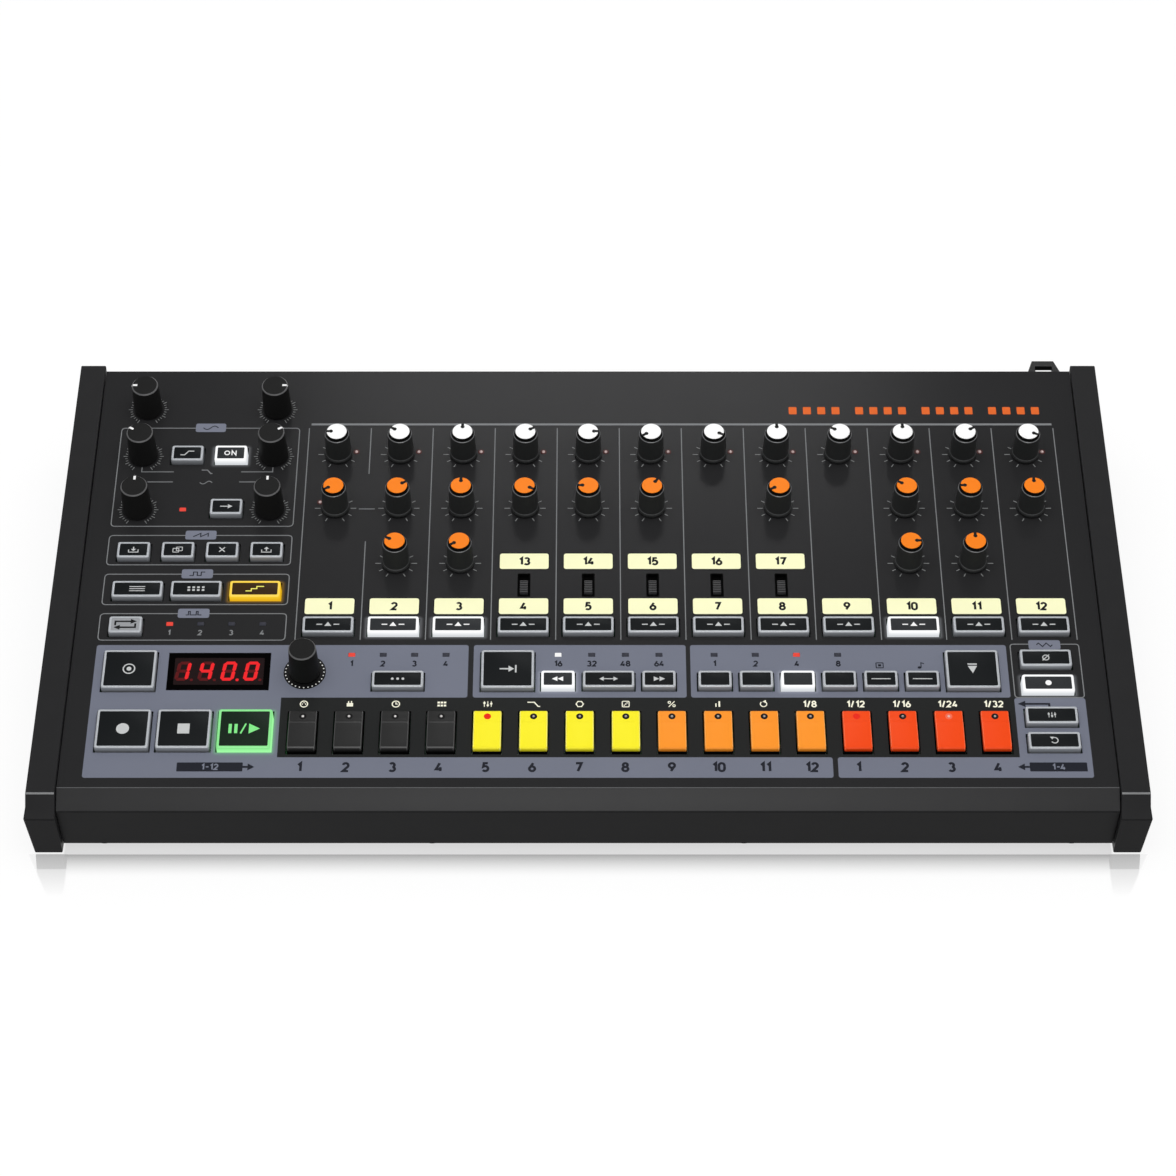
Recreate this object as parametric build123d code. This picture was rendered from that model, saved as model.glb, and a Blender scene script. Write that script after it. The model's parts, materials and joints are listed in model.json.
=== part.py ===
"""A desktop analogue drum machine: a sloping control deck between two moulded end cheeks.

Millimetres. The object's frame has +X to the player's right, -Y towards the player and +Z up,
with the origin under the middle of the whole outline, on the table.
Anything on the deck is placed by three deck coordinates: across (like X), up_slope (from the
deck's front edge) and proud (straight out of the deck's surface).
"""
from build123d import *
import os
from math import atan2, cos, degrees, pi, radians, sin, tan

# Driving dimensions of the whole machine
DEPTH = 268.0
DECK_WIDTH = 469.4
CHEEK_INNER_X = 235.0
CHEEK_THICKNESS = 13.0
CHEEK_RIDGE = 1.0
CHEEK_LENGTH = 246.0
TILT = 6.0
DECK_LENGTH = 245.0
DECK_FRONT_Z = 36.2
SHEET = 1.5
FOOT_HEIGHT = 3.5
CHEEK_NOSE = 11.7
DECK_FRONT_Y = CHEEK_NOSE - DEPTH / 2
HOUSING_BACK_Y = DECK_FRONT_Y + 243.6
NOSE_REACH = 8.7
NOSE_Z = 30.0
NOSE_FOOT_REACH = 5.1
FOLD_RADIUS = 1.0
LIP_BOTTOM_Z = 58.6
WELD_LENGTH = 200.0
BEYOND = 600.0

# Inside the deck, as depths below its surface
BOARD_TOP = -10.4
BOARD_THICKNESS = 1.6
SWITCH_TOP = -7.8
POT_TOP = -4.6
STEM_BOTTOM = -4.2
POST_RADIUS = 3.6
POST_BORE_RADIUS = 1.5
POST_BORE_TOP = 16.0
SCREW_HEAD = (2.7, 1.6)
SCREW_SHANK = (1.4, 12.0)
TACT_SIZE = (6.0, 6.0)
SLIDE_BODY_SIZE = (7.0, 15.0)
POT_SIZE = (9.8, 10.8)
DISPLAY_SIZE = (41.0, 17.0)

# Controls: a pitch of one voice channel, and the first channel's middle
CHANNEL_PITCH = 29.78
FIRST_CHANNEL = -119.0
KNOB_ROWS = {"level": 192.0, "tone": 158.9, "colour": 125.9}
EFFECT_COLUMNS = {"left": -212.1, "right": -149.9}
EFFECT_ROWS = {"one": 220.2, "two": 190.8, "three": 158.0}
ENCODER_SPOT = (-128.4, 63.2)
TONE_CHANNELS = (1, 2, 3, 4, 5, 6, 8, 10, 11, 12)
COLOUR_CHANNELS = (2, 3, 10, 11)
SLIDE_CHANNELS = (4, 5, 6, 7, 8)

KNOB_CLEARANCE = 0.8
KNOB_FLATS = 14
CAPPED_KNOB = {"foot": 6.35, "top": 5.7, "shoulder": 15.4, "disc": 4.75, "height": 17.2}
TALL_KNOB = {"foot": 6.9, "top": 6.2, "shoulder": 17.2, "disc": 5.6, "height": 18.0}
POINTER_GROOVE = (0.9, 2.4, 0.5)
STEM_RADIUS = 3.0
STEM_FLATS = 6
STEM_HOLE_RADIUS = 4.0

BUTTON_HEIGHT = 2.8
BUTTON_BOTTOM = -6.4
BUTTON_GAP = 0.5
BUTTON_TAPER = 1.5
BUTTON_CORNER = 1.0
INLAY_MARGIN = 1.3
INLAY_DEPTH = 0.25
SMALL_BUTTON = (15.3, 9.5)
WIDE_BUTTON = (23.5, 9.5)
LARGE_BUTTON = (24.2, 21.4)

FIRST_KEY = -127.8
KEY_PITCH = 20.68
KEY_WIDTH = 12.8
KEY_FRONT = 18.5
KEY_LENGTH = 22.4
KEY_FRONT_HEIGHT = 3.2
KEY_BACK_HEIGHT = 1.3
KEY_LEDGE = 6.4
KEY_GAP = 0.6
KEY_TAPER = 2.5
KEY_LIGHT_RADIUS = 1.3

SLIDE_SLOT = (5.4, 13.0)
SLIDE_SLOT_MIDDLE = 113.1
SLIDE_CAP = (3.8, 8.0)
SLIDE_CAP_MIDDLE = 112.2

WINDOW_SIZE = (46.2, 20.8)
WINDOW_SPOT = (-167.4, 63.6)
FILTER_GAP = 0.1

LIGHT_SIZE = (3.0, 2.0)
LIGHT_GAP = 0.05
DOT_RADIUS = 0.9
DOT_FLATS = 6
DOT_OFFSET = (8.4, 1.6)

# Back panel: heights above the table and places across
SOCKET_Z = 31.0
JACK_PITCH = 18.0
FIRST_JACK = -74.0
JACK_COUNT = 14
JACK_BORE_RADIUS = 3.2
JACK_NUT_RADIUS = 6.6
JACK_BUSH_RADIUS = 4.6
ROUND_FLATS = 8
MINI_PITCH = 12.0
FIRST_MINI = -140.0
MINI_COUNT = 5
MINI_BORE_RADIUS = 1.78
MINI_BUSH_RADIUS = 3.1
MINI_FLATS = 6
DIN_PITCH = 20.0
FIRST_DIN = -198.0
DIN_COUNT = 3
DIN_RADIUS = 7.5
DIN_FLATS = 12
DIN_SEAM = 0.7
USB_X = -220.0
USB_SIZE = (12.0, 11.0)
DC_X = 217.0
DC_SIZE = (9.0, 11.0)
DC_BORE_RADIUS = 2.9
ROCKER_X = 190.0
ROCKER_SIZE = (9.0, 17.0)
ROCKER_THROW = 8.0
ROCKER_WELL = (13.0, 21.0)
ROCKER_FLANGE = (16.0, 24.0)
HOOK_X = 223.3
HOOK_Z = 55.6
SOCKET_DEPTH = 15.0
FIT = 0.1

DECK = Plane(
    origin=(0, DECK_FRONT_Y, DECK_FRONT_Z),
    x_dir=(1, 0, 0),
    z_dir=(0, -sin(radians(TILT)), cos(radians(TILT))),
)
BACK = Plane(origin=(0, HOUSING_BACK_Y, 0), x_dir=(-1, 0, 0), z_dir=(0, 1, 0))


def channel_x(channel):
    """Middle of a voice channel, counted from 1 at the left."""
    return FIRST_CHANNEL + (channel - 1) * CHANNEL_PITCH


def on_deck(across, up_slope, proud=0.0):
    """Location of a point given in deck coordinates, with its axes along the deck's own."""
    return DECK.location * Pos(across, up_slope, proud)


def placed(piece, spots):
    """A copy of a piece, drawn about its own origin, at each spot on the deck."""
    return [on_deck(*spot) * piece for spot in spots]


def on_back(x, z, out=0.0):
    """Location on the back panel's outer face, with its Z axis pointing out of the machine."""
    return BACK.location * Pos(-x, z, out)


def slab(size, low, high):
    """An upright block between two levels, centred on its own origin."""
    block = Box(size[0], size[1], high - low, align=(Align.CENTER, Align.CENTER, Align.MIN))
    return Pos(0, 0, low) * block


def prism(radius, flats, low, high, top_radius=None):
    """A turned form drawn with a few flats, straight or tapering to top_radius."""
    outline = Pos(0, 0, low) * RegularPolygon(radius, flats)
    shrink = 0.0 if top_radius is None else (radius - top_radius) * cos(pi / flats)
    return extrude(outline, high - low, taper=degrees(atan2(shrink, high - low)))


# ---------------------------------------------------------------- where the controls are

def knobs():
    """Every knob as (node name, across, up_slope, pattern, pointer angle clockwise from up-slope)."""
    level_angles = (-90, -61, 0, 61, 90, -123, 116, 0, -62, 0, 60, 116)
    tone_angles = (-119, 61, 0, 118, -90, 35, -120, -60, -90, 0)
    colour_angles = (-65, -121, 90, 0)
    effect_angles = {"one": (-90, 90), "two": (-60, 60), "three": (0, 0)}
    rows = {
        "level": (range(1, 13), level_angles),
        "tone": (TONE_CHANNELS, tone_angles),
        "colour": (COLOUR_CHANNELS, colour_angles),
    }
    found = []
    for row, (channels, angles) in rows.items():
        for channel, angle in zip(channels, angles):
            spot = (channel_x(channel), KNOB_ROWS[row])
            found.append((f"{row}_knob_{channel}", *spot, CAPPED_KNOB, angle))
    for row, angles in effect_angles.items():
        for side, angle in zip(EFFECT_COLUMNS, angles):
            spot = (EFFECT_COLUMNS[side], EFFECT_ROWS[row])
            found.append((f"effect_knob_{row}_{side}", *spot, TALL_KNOB, angle))
    found.append(("data_encoder", *ENCODER_SPOT, TALL_KNOB, 0))
    return found


def select_spots():
    return [(channel_x(channel), 88.4) for channel in range(1, 13)]


def small_spots():
    """The small square-ended buttons: effects, edit, sync, length arrows and repeats."""
    effects = [(-191.0, 190.8), (-170.3, 190.8), (-170.3, 158.0)]
    edit = [(-211.7 + 20.65 * place, 132.0) for place in range(4)]
    sync = [(-211.7, 88.4)]
    arrows = [(-13.6, 57.6), (32.1, 57.6)]
    repeats = [(57.4 + 18.75 * place, 57.6) for place in range(6)]
    return effects + edit + sync + arrows + repeats


def wide_spots():
    """The wide buttons outside the channel row: modes, data mode, length and the right-hand column."""
    modes = [(-208.0 + 27.15 * place, 109.0) for place in range(3)]
    strip = [(-86.0, 57.6), (9.3, 57.6)]
    column = [(207.8, 69.5), (207.8, 55.4), (207.8, 37.6), (207.8, 23.7)]
    return modes + strip + column


def large_spots():
    transport = [(-207.8 + 27.2 * place, 30.1) for place in range(3)]
    return [(-207.8, 63.2)] + transport + [(-36.4, 63.2), (174.1, 63.2)]


def key_spots():
    middle = KEY_FRONT + KEY_LENGTH / 2
    return [(FIRST_KEY + place * KEY_PITCH, middle) for place in range(16)]


def slide_spots(middle):
    return [(channel_x(channel), middle) for channel in SLIDE_CHANNELS]


def light_spots():
    """The oblong indicator lights: signal, sync, data mode, length and repeat."""
    signal = [(-191.0, 158.2)]
    sync = [(-191.8 + 14.23 * place, 90.6) for place in range(4)]
    data = [(-107.5 + 14.3 * place, 73.0) for place in range(4)]
    length = [(-13.6 + 15.3 * place, 73.0) for place in range(4)]
    repeat = [(57.4 + 18.75 * place, 73.0) for place in range(4)]
    return signal + sync + data + length + repeat


def dot_spots():
    """The round lights: one beside each level knob and one beside the first tone knob."""
    right, up = DOT_OFFSET
    level = [(channel_x(channel) + right, KNOB_ROWS["level"] + up) for channel in range(1, 13)]
    return level + [(channel_x(1) - 7.4, KNOB_ROWS["tone"] + 3.7)]


# ---------------------------------------------------------------- housing

def housing_section():
    """Side view of the sheet-metal housing: sloping deck, two nose facets, flat floor, upright back."""
    slope_end_z = DECK_FRONT_Z + (HOUSING_BACK_Y - DECK_FRONT_Y) * tan(radians(TILT))
    points = [
        (DECK_FRONT_Y, DECK_FRONT_Z),
        (DECK_FRONT_Y - NOSE_REACH, NOSE_Z),
        (DECK_FRONT_Y - NOSE_FOOT_REACH, FOOT_HEIGHT),
        (HOUSING_BACK_Y, FOOT_HEIGHT),
        (HOUSING_BACK_Y, slope_end_z),
    ]
    outline = make_face(Polyline(*points, close=True))
    folds = outline.vertices().filter_by_position(Axis.Y, NOSE_Z - 1, DECK_FRONT_Z + 1)
    return fillet(folds, FOLD_RADIUS)


def across(section, width):
    """Extrude a side view, drawn as (Y, Z), evenly to both sides of the middle."""
    return extrude(Plane.YZ * section, width / 2, both=True)


def knob_holes():
    cutter = prism(STEM_HOLE_RADIUS, STEM_FLATS, -2 * SHEET, SHEET)
    return [on_deck(spot_x, slope) * cutter for _, spot_x, slope, _, _ in knobs()]


def slots(spots, size, gap):
    cutter = slab((size[0] + 2 * gap, size[1] + 2 * gap), -2 * SHEET, SHEET)
    return [on_deck(*spot) * cutter for spot in spots]


def deck_openings():
    """Every hole that the controls, lights and display need in the deck."""
    cutters = knob_holes()
    cutters += slots(select_spots() + wide_spots(), WIDE_BUTTON, BUTTON_GAP)
    cutters += slots(small_spots(), SMALL_BUTTON, BUTTON_GAP)
    cutters += slots(large_spots(), LARGE_BUTTON, BUTTON_GAP)
    cutters += slots(key_spots(), (KEY_WIDTH, KEY_LENGTH), KEY_GAP)
    cutters += slots(slide_spots(SLIDE_SLOT_MIDDLE), SLIDE_SLOT, 0)
    cutters += slots([WINDOW_SPOT], WINDOW_SIZE, FILTER_GAP)
    cutters += slots(light_spots(), LIGHT_SIZE, LIGHT_GAP)
    dot = prism(DOT_RADIUS + LIGHT_GAP, DOT_FLATS, -2 * SHEET, SHEET)
    cutters += [on_deck(*spot) * dot for spot in dot_spots()]
    return cutters


def top_panel():
    """One folded sheet: the deck, the two facets of the nose and a short lip at the back."""
    section = housing_section()
    skin = section - offset(section, -SHEET, kind=Kind.INTERSECTION)
    panel = across(skin, DECK_WIDTH)
    floor_cut = slab((BEYOND, BEYOND), 0, FOOT_HEIGHT + SHEET + 0.1)
    back_cut = Pos(0, HOUSING_BACK_Y, 0) * slab((BEYOND, 10), 0, LIP_BOTTOM_Z)
    return panel - floor_cut - back_cut - deck_openings()


def bottom_tray():
    """The floor sheet, the side walls welded on it and the posts that carry the main board."""
    floor_top = FOOT_HEIGHT + SHEET
    length = HOUSING_BACK_Y - DECK_FRONT_Y + NOSE_FOOT_REACH - 0.6
    middle_y = (HOUSING_BACK_Y + DECK_FRONT_Y - NOSE_FOOT_REACH) / 2
    floor = Pos(0, middle_y, 0) * slab((DECK_WIDTH, length), FOOT_HEIGHT, floor_top)
    wall_view = offset(housing_section(), -SHEET - 0.1, kind=Kind.INTERSECTION)
    weld_view = Pos(middle_y, floor_top + 0.2) * Rectangle(WELD_LENGTH, 0.4)
    wall = extrude(Plane.YZ * (wall_view + weld_view), SHEET)
    walls = [Pos(DECK_WIDTH / 2 - SHEET, 0, 0) * wall, Pos(-DECK_WIDTH / 2, 0, 0) * wall]
    above_board = on_deck(0, DECK_LENGTH / 2) * slab((BEYOND, BEYOND), BOARD_TOP - BOARD_THICKNESS, 100)
    posts = []
    for x, y in post_spots():
        hole = Pos(x, y, 0) * prism(POST_BORE_RADIUS, STEM_FLATS, 0, POST_BORE_TOP)
        post = Pos(x, y, 0) * prism(POST_RADIUS, STEM_FLATS, floor_top, 60)
        posts.append(post - above_board - hole)
        floor -= hole
    return [floor] + walls + posts


def post_spots():
    return [(x, y) for x in (-200.0, 0.0, 200.0) for y in (DECK_FRONT_Y + 12.0, DECK_FRONT_Y + 205.0)]


def cheek(side):
    """One end cheek: the side outline crossed with an end view whose outer face has a shallow ridge."""
    back_y = DECK_FRONT_Y + CHEEK_LENGTH
    side_view = make_face(Polyline(
        (DECK_FRONT_Y - 4.1, DECK_FRONT_Z + 1.1),
        (DECK_FRONT_Y - 9.3, 30.8),
        (DECK_FRONT_Y - CHEEK_NOSE, 28.0),
        (DECK_FRONT_Y - 8.4, 1.0),
        (back_y - 1.5, 1.0),
        (back_y, DECK_FRONT_Z + 1.5 + CHEEK_LENGTH * tan(radians(TILT))),
        close=True,
    ))
    outer_x = CHEEK_INNER_X + CHEEK_THICKNESS
    end_view = make_face(Polyline(
        (CHEEK_INNER_X, 0),
        (outer_x - 0.6, 0),
        (outer_x + CHEEK_RIDGE, 28.0),
        (outer_x + 0.1, 32.0),
        (outer_x - 1.0, 70),
        (CHEEK_INNER_X, 70),
        close=True,
    ))
    body = extrude(Plane.YZ * side_view, 300, both=True)
    body &= extrude(Plane.XZ * end_view, 300, both=True)
    return body if side > 0 else mirror(body, Plane.YZ)


def rear_panel():
    """The upright back sheet, with a hole for every socket and for the rocker's frame. It is kept as
    tiles that meet through the middles of the holes, so that even their hulls leave each hole open."""
    bottom = FOOT_HEIGHT + SHEET
    top = LIP_BOTTOM_Z - 0.2
    width = DECK_WIDTH - 2 * SHEET - 0.4
    plate = on_back(0, (bottom + top) / 2, -SHEET) * slab((width, top - bottom), 0, SHEET)
    seams = [-width / 2, width / 2]
    round_holes = [
        (jack_xs(), JACK_BUSH_RADIUS, ROUND_FLATS),
        (mini_xs(), MINI_BUSH_RADIUS, MINI_FLATS),
        (din_xs(), DIN_RADIUS, DIN_FLATS),
    ]
    square_holes = [(USB_X, USB_SIZE), (DC_X, DC_SIZE), (ROCKER_X, ROCKER_WELL)]
    for xs, radius, flats in round_holes:
        plate -= [on_back(x, SOCKET_Z) * prism(radius + FIT, flats, -4, 2) for x in xs]
        seams += xs
    for x, (hole_width, hole_height) in square_holes:
        plate -= on_back(x, SOCKET_Z) * slab((hole_width + 2 * FIT, hole_height + 2 * FIT), -4, 2)
        seams += [x - hole_width / 2 - FIT, x + hole_width / 2 + FIT]
    for x in din_xs():
        seams += [x - DIN_RADIUS * DIN_SEAM, x + DIN_RADIUS * DIN_SEAM]
    seams.sort()
    tiles = []
    for left, right in zip(seams, seams[1:]):
        for low, high in ((bottom, SOCKET_Z), (SOCKET_Z, top)):
            middle = on_back((left + right) / 2, (low + high) / 2, -2 * SHEET)
            tiles += (plate & middle * slab((right - left, high - low), 0, 3 * SHEET)).solids()
    return tiles


def feet():
    """Eight round rubber feet, in two rows close to the front and the back."""
    foot = prism(5.0, 10, 0, FOOT_HEIGHT)
    rows = (DECK_FRONT_Y + 2.0, HOUSING_BACK_Y - 12.0)
    return [Pos(x, y, 0) * foot for x in (-217.0, -70.0, 70.0, 217.0) for y in rows]


def case_screws():
    """Pan-headed screws that come up through the floor into the board's posts."""
    head = prism(SCREW_HEAD[0], ROUND_FLATS, FOOT_HEIGHT - SCREW_HEAD[1], FOOT_HEIGHT)
    shank = prism(SCREW_SHANK[0], STEM_FLATS, FOOT_HEIGHT, SCREW_SHANK[1])
    return [Pos(x, y, 0) * (head + shank) for x, y in post_spots()]


def cable_hook():
    """A flat closed loop behind the right-hand end, for the supply's cable."""
    reach = DEPTH / 2 - HOUSING_BACK_Y
    outline = make_face(Polyline((-9.5, 0), (9.5, 0), (5.3, reach), (-5.3, reach), close=True))
    slot = Pos(0, reach / 2 - 0.6) * Rectangle(8.2, 6.4)
    return Pos(HOOK_X, HOUSING_BACK_Y, HOOK_Z - 1.6) * extrude(outline - slot, 3.2)


# ---------------------------------------------------------------- electronics

def main_board():
    """The control board, parallel to the deck, notched for the sockets at the back."""
    board = on_deck(0, 112.0) * slab((452, 216), BOARD_TOP - BOARD_THICKNESS, BOARD_TOP)
    notch = on_deck(0, 220.0) * slab((60, 10), BOARD_TOP - 5, BOARD_TOP + 5)
    return board - notch


def potentiometers():
    """A pot or encoder body under each knob, standing on the board."""
    body = slab(POT_SIZE, BOARD_TOP, POT_TOP)
    return [on_deck(x, slope) * body for _, x, slope, _, _ in knobs()]


def key_switches():
    """A tactile switch under each button and key, and a slide switch under each slot."""
    tact = slab(TACT_SIZE, BOARD_TOP, SWITCH_TOP)
    slide = slab(SLIDE_BODY_SIZE, BOARD_TOP, POT_TOP)
    spots = select_spots() + small_spots() + wide_spots() + large_spots() + key_spots()
    return placed(tact, spots) + placed(slide, slide_spots(SLIDE_SLOT_MIDDLE))


def display_module():
    """The four-digit block behind the window, standing on the board."""
    return on_deck(*WINDOW_SPOT) * slab(DISPLAY_SIZE, BOARD_TOP, -2.0)


def display_window():
    """The tinted filter, a hair below the deck."""
    return on_deck(*WINDOW_SPOT) * slab(WINDOW_SIZE, -SHEET, -0.1)


def indicator_lights():
    """Light guides from the board to the deck: oblong ones and small round ones."""
    oblong = slab(LIGHT_SIZE, BOARD_TOP, 0.15)
    dot = prism(DOT_RADIUS, DOT_FLATS, BOARD_TOP, 0.35)
    return placed(oblong, light_spots()) + placed(dot, dot_spots())


# ---------------------------------------------------------------- sockets on the back

def jack_xs():
    return [FIRST_JACK + place * JACK_PITCH for place in range(JACK_COUNT)]


def mini_xs():
    return [FIRST_MINI + place * MINI_PITCH for place in range(MINI_COUNT)]


def din_xs():
    return [FIRST_DIN + place * DIN_PITCH for place in range(DIN_COUNT)]


def output_jacks():
    """6.35 mm sockets: a six-sided nut outside, a bush through the sheet and a body inside."""
    nut = prism(JACK_NUT_RADIUS, 6, 0, 2.4)
    bush = prism(JACK_BUSH_RADIUS, ROUND_FLATS, -SHEET, 0)
    body = slab((15.0, 13.0), -24.0, -SHEET)
    bore = prism(JACK_BORE_RADIUS, ROUND_FLATS, -SOCKET_DEPTH, 4)
    jack = nut + bush + body - bore
    return [on_back(x, SOCKET_Z) * jack for x in jack_xs()]


def mini_jacks():
    """3.5 mm sockets for clock and triggers, each a short bush on a small body."""
    bush = prism(MINI_BUSH_RADIUS, MINI_FLATS, -SHEET, 1.2)
    body = slab((8.0, 10.0), -13.5, -SHEET)
    bore = Pos(0, 0, -11.0) * extrude(Circle(MINI_BORE_RADIUS), 14)
    jack = bush + body - bore
    return [on_back(x, SOCKET_Z) * jack for x in mini_xs()]


def din_socket():
    """A five-pole round socket: a ring through the sheet, a body and a round well."""
    ring = prism(DIN_RADIUS, DIN_FLATS, -SHEET, 0.6)
    body = slab((18.0, 18.0), -12.0, -SHEET)
    well = prism(DIN_RADIUS - 1.0, DIN_FLATS, -8.5, 2)
    return ring + body - well


def usb_socket():
    """A square type-B socket with its tongue."""
    shell = slab(USB_SIZE, -16.0, 0.5)
    well = slab((USB_SIZE[0] - 3.4, USB_SIZE[1] - 3.2), -9.0, 1)
    tongue = Pos(0, -1.6, 0) * slab((5.6, 1.6), -9.0, -1.0)
    return shell - well + tongue


def data_sockets():
    din = din_socket()
    return [on_back(x, SOCKET_Z) * din for x in din_xs()] + [on_back(USB_X, SOCKET_Z) * usb_socket()]


def power_entry():
    """The supply's inlet and the frame that the rocker turns in."""
    inlet = slab(DC_SIZE, -14.0, 0.4) - Pos(0, 0, -9.5) * extrude(Circle(DC_BORE_RADIUS), 12)
    flange = slab(ROCKER_FLANGE, 0, 1.2) + slab(ROCKER_WELL, -12.0, 0)
    well = slab((ROCKER_SIZE[0] + 1.2, ROCKER_SIZE[1] + 1.6), -9.5, 3)
    return [on_back(DC_X, SOCKET_Z) * inlet, on_back(ROCKER_X, SOCKET_Z) * (flange - well)]


def power_rocker():
    """A rocker with a shallow valley in its face, resting with its lower half pressed."""
    width, height = ROCKER_SIZE
    half = height / 2
    view = make_face(Polyline(
        (-half, 2.6),
        (0, 0.6),
        (half, 2.6),
        (half - 1.2, -3.0),
        (0, -6.0),
        (1.2 - half, -3.0),
        close=True,
    ))
    rocker = extrude(Plane.YZ * view, width / 2, both=True)
    return on_back(ROCKER_X, SOCKET_Z, 0.6) * Rot(ROCKER_THROW, 0, 0) * rocker


# ---------------------------------------------------------------- moving controls

def knob(pattern, capped):
    """A tapering knob with a raised disc or bevelled top, a pointer groove, and its stem."""
    foot, top, shoulder, disc, height = pattern.values()
    body = prism(foot, KNOB_FLATS, KNOB_CLEARANCE, shoulder, top)
    body += prism(disc if capped else top, KNOB_FLATS, shoulder, height, disc)
    stem = prism(STEM_RADIUS, STEM_FLATS, STEM_BOTTOM, KNOB_CLEARANCE)
    width, length, depth = POINTER_GROOVE
    groove = Pos(0, disc + 0.3 - length / 2, 0) * slab((width, length), height - depth, height + 1)
    return body + stem - groove


def button(size):
    """A translucent cap with cut corners and a shallow seat for its dark legend plate."""
    width, length = size
    flare = -BUTTON_BOTTOM * tan(radians(BUTTON_TAPER))
    plan = Rectangle(width + 2 * flare, length + 2 * flare)
    plan = Pos(0, 0, BUTTON_BOTTOM) * chamfer(plan.vertices(), BUTTON_CORNER)
    cap = extrude(plan, BUTTON_HEIGHT - BUTTON_BOTTOM, taper=BUTTON_TAPER)
    seat_size = (width - 2 * INLAY_MARGIN, length - 2 * INLAY_MARGIN)
    return cap - slab(seat_size, BUTTON_HEIGHT - INLAY_DEPTH, BUTTON_HEIGHT + 1)


def step_key():
    """A key with a low flat back that holds its light and a face that rises towards the player."""
    half = KEY_LENGTH / 2
    ledge_start = half - KEY_LEDGE
    view = make_face(Polyline(
        (-half, BUTTON_BOTTOM),
        (-half, KEY_FRONT_HEIGHT),
        (ledge_start, KEY_BACK_HEIGHT + 0.5),
        (ledge_start, KEY_BACK_HEIGHT),
        (half, KEY_BACK_HEIGHT),
        (half, BUTTON_BOTTOM),
        close=True,
    ))
    plan = Pos(0, 0, BUTTON_BOTTOM) * Rectangle(KEY_WIDTH + 0.5, KEY_LENGTH + 0.4)
    drafted = extrude(plan, KEY_FRONT_HEIGHT + 1 - BUTTON_BOTTOM, taper=KEY_TAPER)
    key = drafted & extrude(Plane.YZ * view, KEY_WIDTH, both=True)
    light_hole = Pos(0, half - KEY_LEDGE / 2, 0) * prism(KEY_LIGHT_RADIUS, 8, 0.3, 3)
    return key - light_hole


def slide_cap():
    """The finger piece of a slide switch, with two grip grooves across its top."""
    width, length = SLIDE_CAP
    view = slab((width, length), -4.0, 0.6)
    groove = slab((width, 1.0), 0.2, 1)
    return view - Pos(0, -1.4, 0) * groove - Pos(0, 1.4, 0) * groove


def key_group(first, last):
    return placed(step_key(), key_spots()[first - 1:last])


# ---------------------------------------------------------------- files

def save(node, shapes):
    """Writes one node's solids into its own file."""
    if isinstance(shapes, list):
        shapes = Compound(children=[solid for shape in shapes for solid in shape.solids()])
    export_step(shapes, f"parts/{node}.step")


def main():
    os.makedirs("parts", exist_ok=True)
    save("top_panel", top_panel())
    save("bottom_tray", bottom_tray())
    save("left_cheek", cheek(-1))
    save("right_cheek", cheek(1))
    save("rear_panel", rear_panel())
    save("feet", feet())
    save("case_screws", case_screws())
    save("cable_hook", cable_hook())
    save("main_board", main_board())
    save("potentiometers", potentiometers())
    save("key_switches", key_switches())
    save("display_module", display_module())
    save("display_window", display_window())
    save("indicator_lights", indicator_lights())
    save("output_jacks", output_jacks())
    save("mini_jacks", mini_jacks())
    save("data_sockets", data_sockets())
    save("power_entry", power_entry())
    save("power_rocker", power_rocker())
    save("select_buttons", placed(button(WIDE_BUTTON), select_spots()))
    wide = placed(button(WIDE_BUTTON), wide_spots())
    save("small_buttons", placed(button(SMALL_BUTTON), small_spots()) + wide)
    save("large_buttons", placed(button(LARGE_BUTTON), large_spots()))
    save("step_keys_black", key_group(1, 4))
    save("step_keys_yellow", key_group(5, 8))
    save("step_keys_orange", key_group(9, 12))
    save("step_keys_red", key_group(13, 16))
    save("slide_caps", placed(slide_cap(), slide_spots(SLIDE_CAP_MIDDLE)))
    capped = knob(CAPPED_KNOB, True)
    tall = knob(TALL_KNOB, False)
    for name, x, slope, pattern, angle in knobs():
        piece = capped if pattern is CAPPED_KNOB else tall
        save(name, on_deck(x, slope) * Rot(0, 0, -angle) * piece)


main()
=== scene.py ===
"""The looks of a desktop drum machine with sixteen step keys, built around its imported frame.

The scene is in metres, in the row's own frame. Sizes on the deck and on the back are named in
millimetres, and a point on either side is (across, along, out) of that side.
"""
import json
import math

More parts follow.
